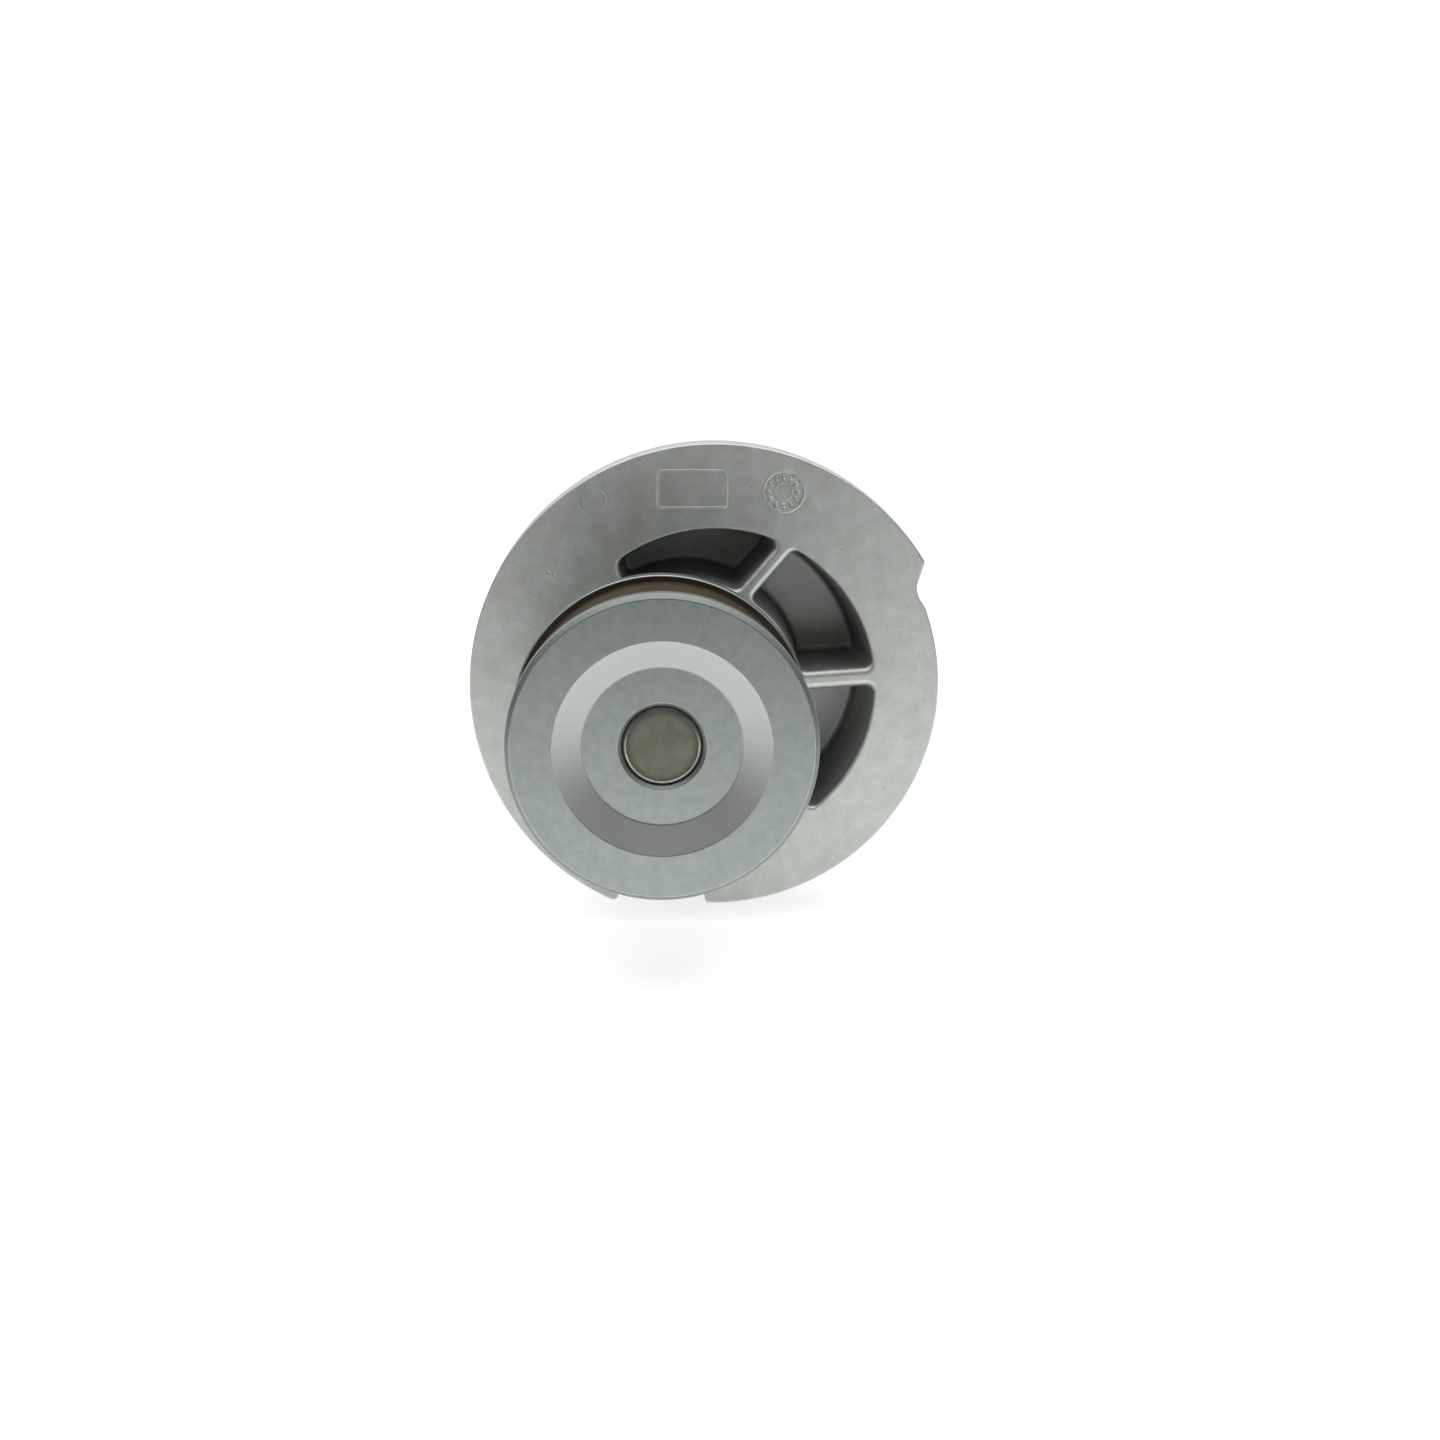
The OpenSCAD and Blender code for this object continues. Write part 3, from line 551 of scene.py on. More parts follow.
# %% Flange edge, seat face and spigot
t = quarter(6)
rim_rows = stacked(
    flange_line, flange_out,
    np.r_[EDGE_FRONT * (1 - np.sin(t)), EDGE_REAR * (1 - np.cos(t))],
    np.r_[FLANGE_T - EDGE_FRONT * (1 - np.cos(t)), EDGE_REAR * (1 - np.sin(t))],
    np.r_[np.sin(t), np.cos(t)], np.r_[np.cos(t), -np.sin(t)])
housing.grid(*rim_rows, edge=np.tile(np.sin(2 * t), 2))

SPIGOT = [
    ((42.6, 0), 0), ((SPIGOT_R, 0), 0.3), ((SPIGOT_R, RING_H + GROOVE_HALF), 0.2),
    ((GROOVE_R, RING_H + GROOVE_HALF), 0.4), ((GROOVE_R, RING_H - GROOVE_HALF), 0.4),
    ((SPIGOT_R, RING_H - GROOVE_HALF), 0.2), ((SPIGOT_R, -19.6), 0.4), ((40.6, SPIGOT_END), 0.4),
    ((RIM_R, SPIGOT_END), 0.4), ((RIM_R, WEB_H), 0.4), ((36.5, WEB_H), 0)]
spigot_p, spigot_n, spigot_e = profile(*zip(*SPIGOT))
around = np.linspace(0, 2 * math.pi, 288, endpoint=False)
spigot_rows = turned((spigot_p, spigot_n), PUMP, around)
print("flange edge rows:", len(rim_rows[0]), "spigot rows:", len(spigot_p))

# %% [markdown]
# The weep hole opens on the underside of the spigot. Coolant that passes the face seal drips out
# there instead of reaching the bearing. A Boolean modifier would cut it, but would spoil the exact
# normals round it. So its mouth is made in the grid: the faces in a small window give way to a fan
# of triangles from each point of the window's border to the round hole.

# %% Weep hole
WEEP_H, WEEP_R, WEEP_DEEP, WINDOW_HALF = -5.25, 2.2, 6.0, 3.6
before_groove = spigot_p[:, 1] > RING_H + GROOVE_HALF
row = int(np.argmax(-np.diff(spigot_p[before_groove, 1])))
below = np.sin(around) < 0
columns = np.flatnonzero(below & (np.abs(SPIGOT_R * np.cos(around) - SHAFT[0]) < WINDOW_HALF))
first, last = columns.min(), columns.max()
faces = strip(*spigot_rows[0].shape[:2])
face_row, face_column = faces[:, 0] // len(around), faces[:, 0] % len(around)
in_window = (face_row == row) & (face_column >= first) & (face_column < last)
turned_zone = 1.0 * (spigot_p[:, 1] > WEB_H - 2)
housing.add(*spigot_rows, faces[~in_window], edge=spigot_e[:, None], zone=turned_zone[:, None])

window = spigot_rows[0][row:row + 2, first:last + 1]
window = np.concatenate([window[0], window[1][::-1]])
corner = np.unwrap(np.arctan2(window[:, 2] - WEEP_H, window[:, 0] - SHAFT[0]))
sides, fan = len(window), 6
whole = 2 * math.pi * np.sign(corner[-1] - corner[0])
corner = np.concatenate([[corner[-1] - whole], corner, [corner[0] + whole]])
turn = np.interp(np.arange(sides * fan) / fan - 0.5, np.arange(-1, sides + 1), corner)
hole_x, hole_h = SHAFT[0] + WEEP_R * np.cos(turn), WEEP_H + WEEP_R * np.sin(turn)
hole = np.column_stack([hole_x, -np.sqrt(SPIGOT_R ** 2 - hole_x ** 2), hole_h])
both = np.concatenate([window, hole])
side, rim = np.arange(sides), np.arange(sides * fan)
fans = np.column_stack([rim // fan, sides + rim, sides + (rim + 1) % len(rim)])
links = np.column_stack([side, sides + (side + 1) * fan % len(rim), (side + 1) % sides])
outwards = np.column_stack([both[:, :2] / SPIGOT_R, 0 * both[:, 0]])
housing.add(both, outwards, np.concatenate([fans, links]), zone=1.0)
inner = hole + np.array([0, WEEP_DEEP, 0])
tube = np.stack([hole, inner])
housing.grid(tube, np.column_stack([-np.cos(turn), 0 * turn, -np.sin(turn)]) + 0 * tube)
housing.add(inner, (0, -1, 0), flat_faces([inner[:, ::2]]))
print("weep hole of", 2 * WEEP_R, "mm between columns", first, "and", last)

# %% [markdown]
# The flat faces close the skin: the flange's front with its holes, the seat face, and the rear
# wall. They are filled with triangles between the outlines that surround them. On the front an
# ejector pin has left a disc that is sunk by a hair.

# %% Flat faces
EJECTOR_AT, SUNK_DISC = np.array([-25.9, 41.3]), FLANGE_T - 0.05
EJECTOR = [((3.2, FLANGE_T), 0), ((2.9, FLANGE_T), 0.1), ((2.6, SUNK_DISC), 0.1), ((2.0, SUNK_DISC), 0)]
circle = np.linspace(0, 2 * math.pi, 48, endpoint=False)
sink_p, sink_n, _ = profile(*zip(*EJECTOR), side=-1, steps=3)
sink_rows = turned((sink_p, sink_n), EJECTOR_AT, circle)
housing.grid(*sink_rows)
housing.flat([sink_rows[0][-1]], 1)

MARGIN, HEX_MARGIN, GOLDEN = (0.2, 0.03), (-0.03, -0.02), 0.618034


def margin(ring, normals, width, sway, up=1):
    """A narrow level border along an outline, inside it where the width is above zero. Its far side
    sways by a hair from point to point, so that no three of its points lie in line and the triangles
    beyond it stay sound."""
    there = ring.copy()
    there[:, :2] -= (width + sway * (GOLDEN * np.arange(len(ring)) % 1))[:, None] * normals
    housing.grid(np.stack([ring, there]), (0, 0, up), zone=float(up < 0))
    return there


front_loops = [margin(rim_rows[0][0], flange_out, *MARGIN),
               margin(hex_rows[0][0], hex_out, *HEX_MARGIN), sink_rows[0][0], *mouths]
housing.flat(front_loops, 1)
seat_edge = margin(rim_rows[0][-1], flange_out, *MARGIN, up=-1)
housing.flat([seat_edge, spigot_rows[0][0]], -1, zone=1.0)
housing.flat([spigot_rows[0][-1], nose_rows[0][-1]], -1, zone=1.0)
hexagon = hex_rows[0][0]
closest = min(np.linalg.norm(mouth[:, None] - hexagon, axis=2).min() for mouth in mouths)
print("front face loops:", len(front_loops), "pocket to hexagon:", round(float(closest), 3), "mm")

# %% [markdown]
# The raised marks are cast in: a plain frame where a foundry sets its name plate, and a round
# mould mark with plain ticks. They could be bump in the material, but a raised mark has an outline
# and a shadow of its own, so each is a low ridge with a rounded back. A ridge is one cross-section
# carried along a closed path, which here is a circle or a rounded rectangle.

# %% Casting marks
SUNK = 0.05


def ridge(path, out, width, height):
    """A closed ridge on the flange's face. Across the path it lifts by the height times the cosine
    of a half turn, to the power of 0.7, and its feet start a little below the face."""
    u = np.linspace(-1, 1, 9)
    lift = height * np.cos(u * math.pi / 2) ** 0.7 - 2 * SUNK * (abs(u) == 1)
    shift, slope = u * width / 2, -u * height * 2 / width
    p = [np.column_stack([path + a * out, np.full(len(path), FLANGE_T + z)]) for a, z in zip(shift, lift)]
    n = [np.column_stack([-s * out, np.ones(len(path))]) for s in slope]
    housing.grid(np.array(p), np.array(n) / np.linalg.norm(n, axis=2, keepdims=True))
    housing.grid(np.stack([p[-1], p[0]]), (0, 0, -1))


def pill(at, degrees, half_long, half_wide, height):
    """A low rounded bump: ellipses that shrink with the cosine of the rise, and lift with its sine."""
    v = np.radians([0, 20, 40, 60, 78])[:, None]
    u = np.linspace(0, 2 * math.pi, 12, endpoint=False)
    a, b = unit(degrees), unit(degrees + 90)
    long, wide = half_long * np.cos(v) * np.cos(u), half_wide * np.cos(v) * np.sin(u)
    p = np.stack([at[0] + long * a[0] + wide * b[0], at[1] + long * a[1] + wide * b[1],
                  FLANGE_T - SUNK + height * np.sin(v) + 0 * u], -1)
    n = np.stack([np.cos(v) * (np.cos(u) * a[0] + np.sin(u) * b[0]),
                  np.cos(v) * (np.cos(u) * a[1] + np.sin(u) * b[1]), np.sin(v) + 0 * u + 0.01], -1)
    housing.grid(p, n / np.linalg.norm(n, axis=2, keepdims=True))
    housing.flat([p[-1]], 1)
    housing.flat([p[0]], -1)


DIAL_AT, DIAL_R, DIAL_INNER_R, DIAL_PIP_R = np.array([SHAFT[0] + 26.8, MARK_ROW]), 4.4, 1.9, 3.15
PIPS, PIP_HALF_LONG, PIP_HALF_WIDE = 12, 0.95, 0.48
FRAME_AT, FRAME_HALF, FRAME_CORNER = np.array([SHAFT[0] + 7.1, MARK_ROW + 0.5]), np.array([7.4, 4.0]), 1.2
LINE_WIDE, LINE_HIGH, INNER_WIDE, INNER_HIGH = 0.8, 0.3, 0.5, 0.12
ring = np.stack([np.cos(circle), np.sin(circle)], 1)
ridge(DIAL_AT + DIAL_R * ring, ring, LINE_WIDE, LINE_HIGH)
ridge(DIAL_AT + DIAL_INNER_R * ring, ring, INNER_WIDE, INNER_HIGH)
across, up = FRAME_HALF * (1, 0), FRAME_HALF * (0, 1)
frame_line, frame_out = outline(
    [line(FRAME_AT + across, 90), line(FRAME_AT + up, 180),
     line(FRAME_AT - across, 270), line(FRAME_AT - up, 0)],
    [FRAME_AT + across + up, FRAME_AT - across + up, FRAME_AT - across - up, FRAME_AT + across - up],
    [FRAME_CORNER] * 4, [6, 12, 6, 12], bend=5)
ridge(frame_line, frame_out, LINE_WIDE, LINE_HIGH)
for k in range(PIPS):
    turned_by = 360 / PIPS * k
    pill(DIAL_AT + DIAL_PIP_R * unit(turned_by), turned_by, PIP_HALF_LONG, PIP_HALF_WIDE, LINE_HIGH)
print("marks added, patches:", len(housing.patches))

# %% [markdown]
# ## The pulley
#
# A smooth belt runs on the back of the land between two low rims. The pulley is turned from
# steel, so its whole form is one cross-section carried round the shaft: a bore with a broken
# edge, a shallow dished recess, the face, the rims and the deep hollow behind. A turned edge is
# never sharp, and every corner here has its own small radius. A Screw modifier could turn the
# section too, but its normals are averages of faces, and here each comes with its radius.

# %% Pulley
def lathe(section, side=1, columns=192, closed=True, ends=(), zone=None):
    """A piece turned about the shaft from one cross-section of corners and their radii. Where the
    section is open, each end is closed by a flat disc that faces up or down. The zone's mask is a
    function of the section's radius and height."""
    shell = Shell()
    p, n, e = profile(*zip(*section), side=side, closed=closed)
    if closed:
        p, n, e = (np.concatenate([v, v[:1]]) for v in (p, n, e))
    angles = np.linspace(0, 2 * math.pi, columns, endpoint=False)
    rows = turned((p, n), SHAFT, angles)
    shell.grid(*rows, edge=e, zone=zone(*p.T) if zone else 0.0)
    for which, up in ends:
        shell.flat([rows[0][which]], up)
    return shell


PULLEY_R, LAND_R, BORE_R, HOLLOW_R = 30.5, 29.0, 7.98, 24.5
FACE_H, RECESS_H, REAR_H, LAND_FRONT, LAND_REAR = 62.3, 59.2, 35.0, 58.5, 39.1
CHAMFER, CONE_FOOT_R, CONE_TOP_R = 0.9, 15.8, 21.3
PULLEY = [
    ((BORE_R, 37.5), 0.3), ((BORE_R, 58.5), 0.15), ((BORE_R + 0.7, RECESS_H), 0.2),
    ((CONE_FOOT_R, RECESS_H), 0.9), ((CONE_TOP_R, FACE_H), 0.5),
    ((PULLEY_R - CHAMFER, FACE_H), 0.35), ((PULLEY_R, FACE_H - CHAMFER), 0.35),
    ((PULLEY_R, LAND_FRONT), 0.35), ((LAND_R, LAND_FRONT), 0.3), ((LAND_R, LAND_REAR), 0.3),
    ((PULLEY_R, LAND_REAR), 0.35), ((PULLEY_R, REAR_H + CHAMFER), 0.35), ((PULLEY_R - CHAMFER, REAR_H), 0.35),
    ((HOLLOW_R, REAR_H), 0.5), ((HOLLOW_R, 50.2), 3.0), ((14.5, 50.2), 3.0), ((14.5, 37.5), 0.5)]


def film_and_painted_light_zone(r, h):
    """Where the belt's film lies: full in the groove and on its walls, less on the front rim and in the
    bore's broken edge, and none on the rear rim. On the rim's chamfer the same thin film's grey is painted
    shade. It is below zero on the recess's cone, which is painted brighter as a painted reflection."""
    groove = (r > LAND_R - 0.2) & (r < PULLEY_R - 0.3) & (h > LAND_REAR - 0.2) & (h < LAND_FRONT + 0.1)
    front_rim = (r > PULLEY_R - 0.2) & (h > 50) & (h < FACE_H - 1)
    # Painted shade: the chamfer is darkened with the thin film's grey.
    chamfer = (r > PULLEY_R - 0.85) & (r < PULLEY_R - 0.05) & (h > FACE_H - 1)
    bore = (r < BORE_R + 0.77) & (h < RECESS_H + 0.1)
    # Painted reflection: the cone is painted brighter.
    cone = (r > CONE_FOOT_R + 0.1) & (r < CONE_TOP_R - 0.05) & (h > RECESS_H + 0.05)
    return np.select([groove, front_rim, chamfer, bore, cone], [1.0, 0.42, 0.45, 0.35, -1.0], 0.0)


pulley = lathe(PULLEY, zone=film_and_painted_light_zone)
print("pulley section:", len(PULLEY), "corners")

# %% [markdown]
# ## The shaft
#
# The shaft is hardened and ground, and its two ball tracks are ground straight into it. Its
# chamfered end shows in the middle of the pulley, with a ring of old oil round its edge. It is
# turned like the pulley, and the tracks' arcs follow from the balls' size and their pitch circle.

# %% Shaft
SHAFT_R, SHAFT_FRONT, SHAFT_REAR = 7.96, 58.9, -33.0
TRACKS = (26.05, 7.05)
PITCH_R, TRACK_R = 9.955, 3.05
track_corner = math.sqrt(TRACK_R ** 2 - (PITCH_R - SHAFT_R) ** 2)


def track(middle):
    """The groove that the balls run in: an arc about the ball's centre, walked from rear to front."""
    a = np.linspace(-1, 1, 7) * math.asin(track_corner / TRACK_R)
    return [(PITCH_R - TRACK_R * math.cos(v), middle + TRACK_R * math.sin(v)) for v in a]


SHAFT_LINE = [
    ((3.0, SHAFT_REAR), 0), ((SHAFT_R - 0.9, SHAFT_REAR), 0.3), ((SHAFT_R, SHAFT_REAR + 0.9), 0.3),
    *((point, 0.05) for point in track(TRACKS[1]) + track(TRACKS[0])),
    ((SHAFT_R, 58.3), 0.25), ((7.26, SHAFT_FRONT), 0.9), ((5.6, SHAFT_FRONT), 0), ((3.0, SHAFT_FRONT), 0)]


def oil_zone(r, h):
    """Old oil lies on the front end, outside the middle of its face."""
    return 0.75 * ((h > SHAFT_FRONT - 0.02) & (r > 6.0))


shaft = lathe(SHAFT_LINE, side=-1, columns=128, closed=False, ends=((0, -1), (-1, 1)), zone=oil_zone)
print("shaft length:", SHAFT_FRONT - SHAFT_REAR, "mm")

# %% [markdown]
# ## The sealing ring
#
# The ring round the spigot seals the pump in the block's bore. Packed on a bench it isn't squeezed,
# so its cord is round and it stands a little proud of the groove. A moulded ring has a hair-fine
# flash line where the two halves of its mould met, here at the outer equator. Blender's own torus
# has no such line, so the cord's radius is a function of the angle round the cord.

# %% Sealing ring
CORD_R, CORD_AT_R, FLASH_HIGH, FLASH_WIDE = 1.74, 40.96, 0.05, 0.06


def o_ring():
    """A torus about the flange's centre. The cord's radius grows at its outer equator by a bell curve
    of the sine of the angle round the cord."""
    shell = Shell()
    v = np.linspace(0, 2 * math.pi, 41)
    cord = CORD_R + FLASH_HIGH * np.exp(-(np.sin(v) / FLASH_WIDE) ** 2) * (np.cos(v) > 0)
    section = np.column_stack([CORD_AT_R + cord * np.cos(v), RING_H + cord * np.sin(v)])
    out = np.column_stack([np.cos(v), np.sin(v)])
    shell.grid(*turned((section, out), PUMP, np.linspace(0, 2 * math.pi, 240, endpoint=False)))
    return shell


ring_shell = o_ring()
print("sealing ring:", 2 * CORD_R, "mm cord,", 2 * (CORD_AT_R + CORD_R), "mm across")

# %% [markdown]
# ## The impeller
#
# The impeller is moulded on a steel bush. Its plate and hub are turned forms, and each of its
# seven vanes follows an arc that leans back from the turning direction. A moulded vane has a
# radius at its root, a rounded back and rounded ends, so its section is carried along the arc and
# is drawn together at both ends like the bow of a boat.

# %% Impeller
PLATE_R, PLATE_FRONT, PLATE_REAR = 28.0, -21.0, -23.4
BUSH_R, HUB_R, HUB_END = 10.62, 13.0, -33.4
IMPELLER = [
    ((BUSH_R, -22.76), 0.2), ((16.62, -22.76), 0.3), ((16.62, PLATE_FRONT), 0.3),
    ((PLATE_R, PLATE_FRONT), 0.5), ((PLATE_R, PLATE_REAR), 0.7), ((18.62, PLATE_REAR), 1.2),
    ((HUB_R, -27.4), 1.5), ((HUB_R, HUB_END), 0.5), ((BUSH_R, HUB_END), 0.3)]
VANES, VANE_ARC, VANE_HALF, VANE_TOP = 7, 17.0, 1.1, 3.0
VANE_FROM, VANE_TO, TIP = 12.0, 25.8, 1.1
VANE_HIGH, VANE_FALL, FALL_FROM, FALL_OVER, TIP_FALL = 9.6, 3.5, 11.6, 16.0, 0.9
VANE = [
    ((-2.4, -0.3), 0), ((-VANE_HALF, 0.15), 1.0), ((-VANE_HALF, VANE_TOP), 0.95),
    ((VANE_HALF, VANE_TOP), 0.95), ((VANE_HALF, 0.15), 1.0), ((2.4, -0.3), 0)]


def grid_normals(points):
    """The unit normals of a grid: the cross product of the steps along its rows and its columns."""
    down = np.gradient(points, axis=0)
    across = np.roll(points, -1, 1) - np.roll(points, 1, 1)
    n = np.cross(across, down)
    return n / np.maximum(np.linalg.norm(n, axis=2, keepdims=True), 1e-9)


def vane_grid(section):
    """One vane: its section, carried along an arc through the shaft's axis. The back falls away with
    the reach, and near the tip the section narrows by the cosine of the last quarter turn."""
    theta = np.radians([15, 30, 45, 60, 72, 82])
    reach = np.r_[np.linspace(VANE_FROM, VANE_TO, 26), VANE_TO + TIP * np.sin(theta)][:, None]
    narrow = np.r_[np.ones(26), np.cos(theta)][:, None]
    high = VANE_HIGH - VANE_FALL * (reach - FALL_FROM) / FALL_OVER - TIP_FALL * (1 - narrow)
    across = section[:, 0] * narrow
    deep = section[:, 1] + (high - VANE_TOP) * (section[:, 1] > VANE_TOP / 2)
    a = 2 * np.arcsin(reach / (2 * VANE_ARC))
    x = (VANE_ARC + across) * np.sin(a)
    y = VANE_ARC - (VANE_ARC + across) * np.cos(a)
    return np.stack([x, y, PLATE_REAR - deep], -1)


impeller = lathe(IMPELLER)
vane_section, _, vane_edge = profile(*zip(*VANE))
vane = vane_grid(vane_section)
vane_n = -grid_normals(vane)
ends = flat_faces([vane_section])
for k in range(VANES):
    c, s = unit(360 / VANES * k)
    spin = np.array([[c, s, 0], [-s, c, 0], [0, 0, 1]])
    p, n = vane @ spin + (*SHAFT, 0), vane_n @ spin
    impeller.grid(p, n, edge=vane_edge[None])
    for here, inside in ((0, 3), (-1, -4)):
        facing = p[here].mean(0) - p[inside].mean(0)
        impeller.add(p[here], facing / np.linalg.norm(facing), ends)
print("impeller vanes:", VANES, "of", vane.shape[0], "by", vane.shape[1], "points")

# %% [markdown]
# ## Finishes
#
# Effects that several finishes share are node groups with named inputs: the grain of a casting,
# the turning lines of a lathe, and wear on edges. A group gives values only, and each material
# sets its own amounts. All patterns use object coordinates, which are the real metres of the
# part, so a scale of 1000 is one wave in a millimetre.

# %% Small helpers for nodes
def rgb(red, green, blue):
    """A colour for a socket, which also wants an alpha."""
    return (red, green, blue, 1)


def plug(tree, made, inputs):
    """Gives each input of a node, by its name or number, a socket or a value."""
    for key, value in inputs.items():
        socket = made.inputs[key]
        if isinstance(value, bpy.types.NodeSocket):
            tree.links.new(value, socket)
        else:
            socket.default_value = value


def node(tree, kind, inputs=None, **settings):
    """A node with its settings and its inputs."""
    made = tree.nodes.new("ShaderNode" + kind)
    for key, value in settings.items():
        setattr(made, key, value)
    plug(tree, made, inputs or {})
    return made


def maths(tree, operation, a, b=0.0, c=0.0, clamp=False):
    """One sum on two or three values."""
    return node(tree, "Math", {0: a, 1: b, 2: c}, operation=operation, use_clamp=clamp).outputs[0]


def weigh(tree, a, weight_a, b, weight_b, clamp=False):
    """Two values added up, each times its weight."""
    return maths(tree, "MULTIPLY_ADD", a, weight_a, maths(tree, "MULTIPLY", b, weight_b), clamp=clamp)


def sway(tree, value, amount, base, clamp=False):
    """A base that a value from nothing to one pushes up or down: its distance from a half, times an
    amount, is added to the base."""
    return maths(tree, "MULTIPLY_ADD", maths(tree, "SUBTRACT", value, 0.5), amount, base, clamp=clamp)


def span(tree, value, low, high, to_low=0.0, to_high=1.0):
    """The value stretched from one range to another, and held at its ends."""
    ends = {"Value": value, "From Min": low, "From Max": high, "To Min": to_low, "To Max": to_high}
    return node(tree, "MapRange", ends).outputs["Result"]


def blend(tree, factor, a, b):
    """Two colours mixed by a factor."""
    return node(tree, "Mix", {0: factor, 6: a, 7: b}, data_type="RGBA").outputs[2]


def mix(tree, factor, a, b):
    """Two values mixed by a factor."""
    return node(tree, "Mix", {0: factor, 2: a, 3: b}).outputs[0]


def noise(tree, where, scale, detail=3.0, rough=0.55):
    """Smooth noise at a scale."""
    inputs = {"Vector": where, "Scale": scale, "Detail": detail, "Roughness": rough}
    return node(tree, "TexNoise", inputs).outputs["Fac"]


print("a mid grey for a socket:", rgb(0.5, 0.5, 0.5))

# %% [markdown]
# A finish is a material with one Principled shader. Three more helpers start it, place a shared
# group in it, and link up what changes over its surface. The masks of a piece come in by name.

# %% Helpers for a finish
def group(name, inputs, outputs):
    """A shader node group with named sockets. Inputs are (name, type, default), outputs (name, type)."""
    tree = bpy.data.node_groups.new(name, "ShaderNodeTree")
    for label, kind, value in inputs:
        socket = tree.interface.new_socket(name=label, in_out="INPUT", socket_type=kind)
        socket.default_value = value
    for label, kind in outputs:
        tree.interface.new_socket(name=label, in_out="OUTPUT", socket_type=kind)
    return tree, tree.nodes.new("NodeGroupInput").outputs, tree.nodes.new("NodeGroupOutput").inputs


def use(tree, shared, **inputs):
    """A shared group placed in a material. An input's name is written with _ for its spaces."""
    made = tree.nodes.new("ShaderNodeGroup")
    made.node_tree = shared
    plug(tree, made, {key.replace("_", " "): value for key, value in inputs.items()})
    return made.outputs


def blank(made):
    """The emptied node tree of a material or a world."""
    made.use_nodes = True
    made.node_tree.nodes.clear()
    return made.node_tree


def material(name):
    """An empty material with its shader, and its object coordinates."""
    made = bpy.data.materials.new(name)
    tree = blank(made)
    shader = node(tree, "BsdfPrincipled")
    node(tree, "OutputMaterial", {"Surface": shader.outputs[0]})
    return made, tree, shader, node(tree, "TexCoord").outputs["Object"]


def mask(tree, name):
    """A mask that the pieces keep on their vertices."""
    return node(tree, "Attribute", attribute_name=name).outputs["Fac"]


def surface(tree, shader, colour, rough, height, strength, distance):
    """Links a finish to its shader: colour, roughness, and a bump of a height over a distance in metres."""
    bump = node(tree, "Bump", {"Height": height, "Strength": strength, "Distance": distance})
    plug(tree, shader, {"Base Color": colour, "Roughness": rough, "Normal": bump.outputs[0]})


print("node groups so far:", len(bpy.data.node_groups))

# %% [markdown]
# The skin of a die casting is a fine, soft grain with flow marks on top, and a few small pits.
# An image could hold it, but noise needs no file and never repeats. The grain group gives a height
# for bump, a tone for the colour and a mask for the pits.

# %% Grain of a casting
FLOAT, VECTOR = "NodeSocketFloat", "NodeSocketVector"
grain, given, result = group(
    "cast_grain",
    [("Where", VECTOR, (0, 0, 0)), ("Grain Scale", FLOAT, 1500.0), ("Flow Scale", FLOAT, 260.0),
     ("Pit Scale", FLOAT, 420.0), ("Pit Amount", FLOAT, 0.25)],
    [("Height", FLOAT), ("Tone", FLOAT), ("Pits", FLOAT)])
fine = noise(grain, given["Where"], given["Grain Scale"], 4.0, 0.6)
flow = noise(grain, given["Where"], given["Flow Scale"], 5.0, 0.6)
cells = node(grain, "TexVoronoi", {"Vector": given["Where"], "Scale": given["Pit Scale"]}).outputs["Distance"]
spread = noise(grain, given["Where"], maths(grain, "MULTIPLY", given["Pit Scale"], 0.3), 2.0)
reach = maths(grain, "MULTIPLY", span(grain, spread, 0.45, 0.75), given["Pit Amount"])
pits = span(grain, maths(grain, "SUBTRACT", reach, cells), 0.0, 0.12)
grain.links.new(maths(grain, "SUBTRACT", weigh(grain, fine, 0.6, flow, 0.6), pits), result["Height"])
grain.links.new(weigh(grain, fine, 0.35, flow, 0.65), result["Tone"])
grain.links.new(pits, result["Pits"])
print("cast_grain:", len(grain.nodes), "nodes")

# %% [markdown]
# A lathe leaves rings. Their height depends only on the distance from the axis (and, on a wall,
# on the place along it), so noise that is read at (radius, height) gives rings that are never
# quite regular. The group takes the axis as an input, because the pump has two of them.

# %% Turning lines
turning, given, result = group(
    "turning_lines",
    [("Where", VECTOR, (0, 0, 0)), ("Axis", VECTOR, (0, 0, 0)), ("Pitch Scale", FLOAT, 6000.0)],
    [("Height", FLOAT), ("Tone", FLOAT)])


def wandering(along, detail):
    """Noise along a single number."""
    inputs = {"W": along, "Scale": 1.0, "Detail": detail}
    return node(turning, "TexNoise", inputs, noise_dimensions="1D").outputs["Fac"]


apart = node(turning, "VectorMath", {0: given["Where"], 1: given["Axis"]}, operation="SUBTRACT").outputs[0]
x, y, z = node(turning, "SeparateXYZ", {0: apart}).outputs
radius = maths(turning, "SQRT", weigh(turning, x, x, z, z))
wave = maths(turning, "MULTIPLY", maths(turning, "ADD", radius, y), given["Pitch Scale"])
rings = wandering(wave, 2.0)
slow = wandering(maths(turning, "MULTIPLY", wave, 0.08), 1.0)
turning.links.new(rings, result["Height"])
turning.links.new(weigh(turning, rings, 0.5, slow, 0.5), result["Tone"])
print("turning_lines:", len(turning.nodes), "nodes")

# %% [markdown]
# Handling polishes what sticks out. Blender can find edges by the mesh's curvature, but that
# depends on how fine the mesh is. The wear group takes the edge mask that each piece keeps on its
# vertices instead and breaks it up with noise, so an edge is bright here and dull there.

# %% Edge wear
wear, given, result = group(
    "edge_wear",
    [("Where", VECTOR, (0, 0, 0)), ("Edge", FLOAT, 0.0), ("Scale", FLOAT, 350.0), ("Amount", FLOAT, 0.6)],
    [("Wear", FLOAT)])
patchy = noise(wear, given["Where"], given["Scale"], 4.0, 0.65)
worn = maths(wear, "MULTIPLY", given["Edge"], span(wear, patchy, 0.3, 0.65, 0.25, 1.0))
wear.links.new(maths(wear, "MULTIPLY", worn, given["Amount"], clamp=True), result["Wear"])
print("edge_wear:", len(wear.nodes), "nodes")
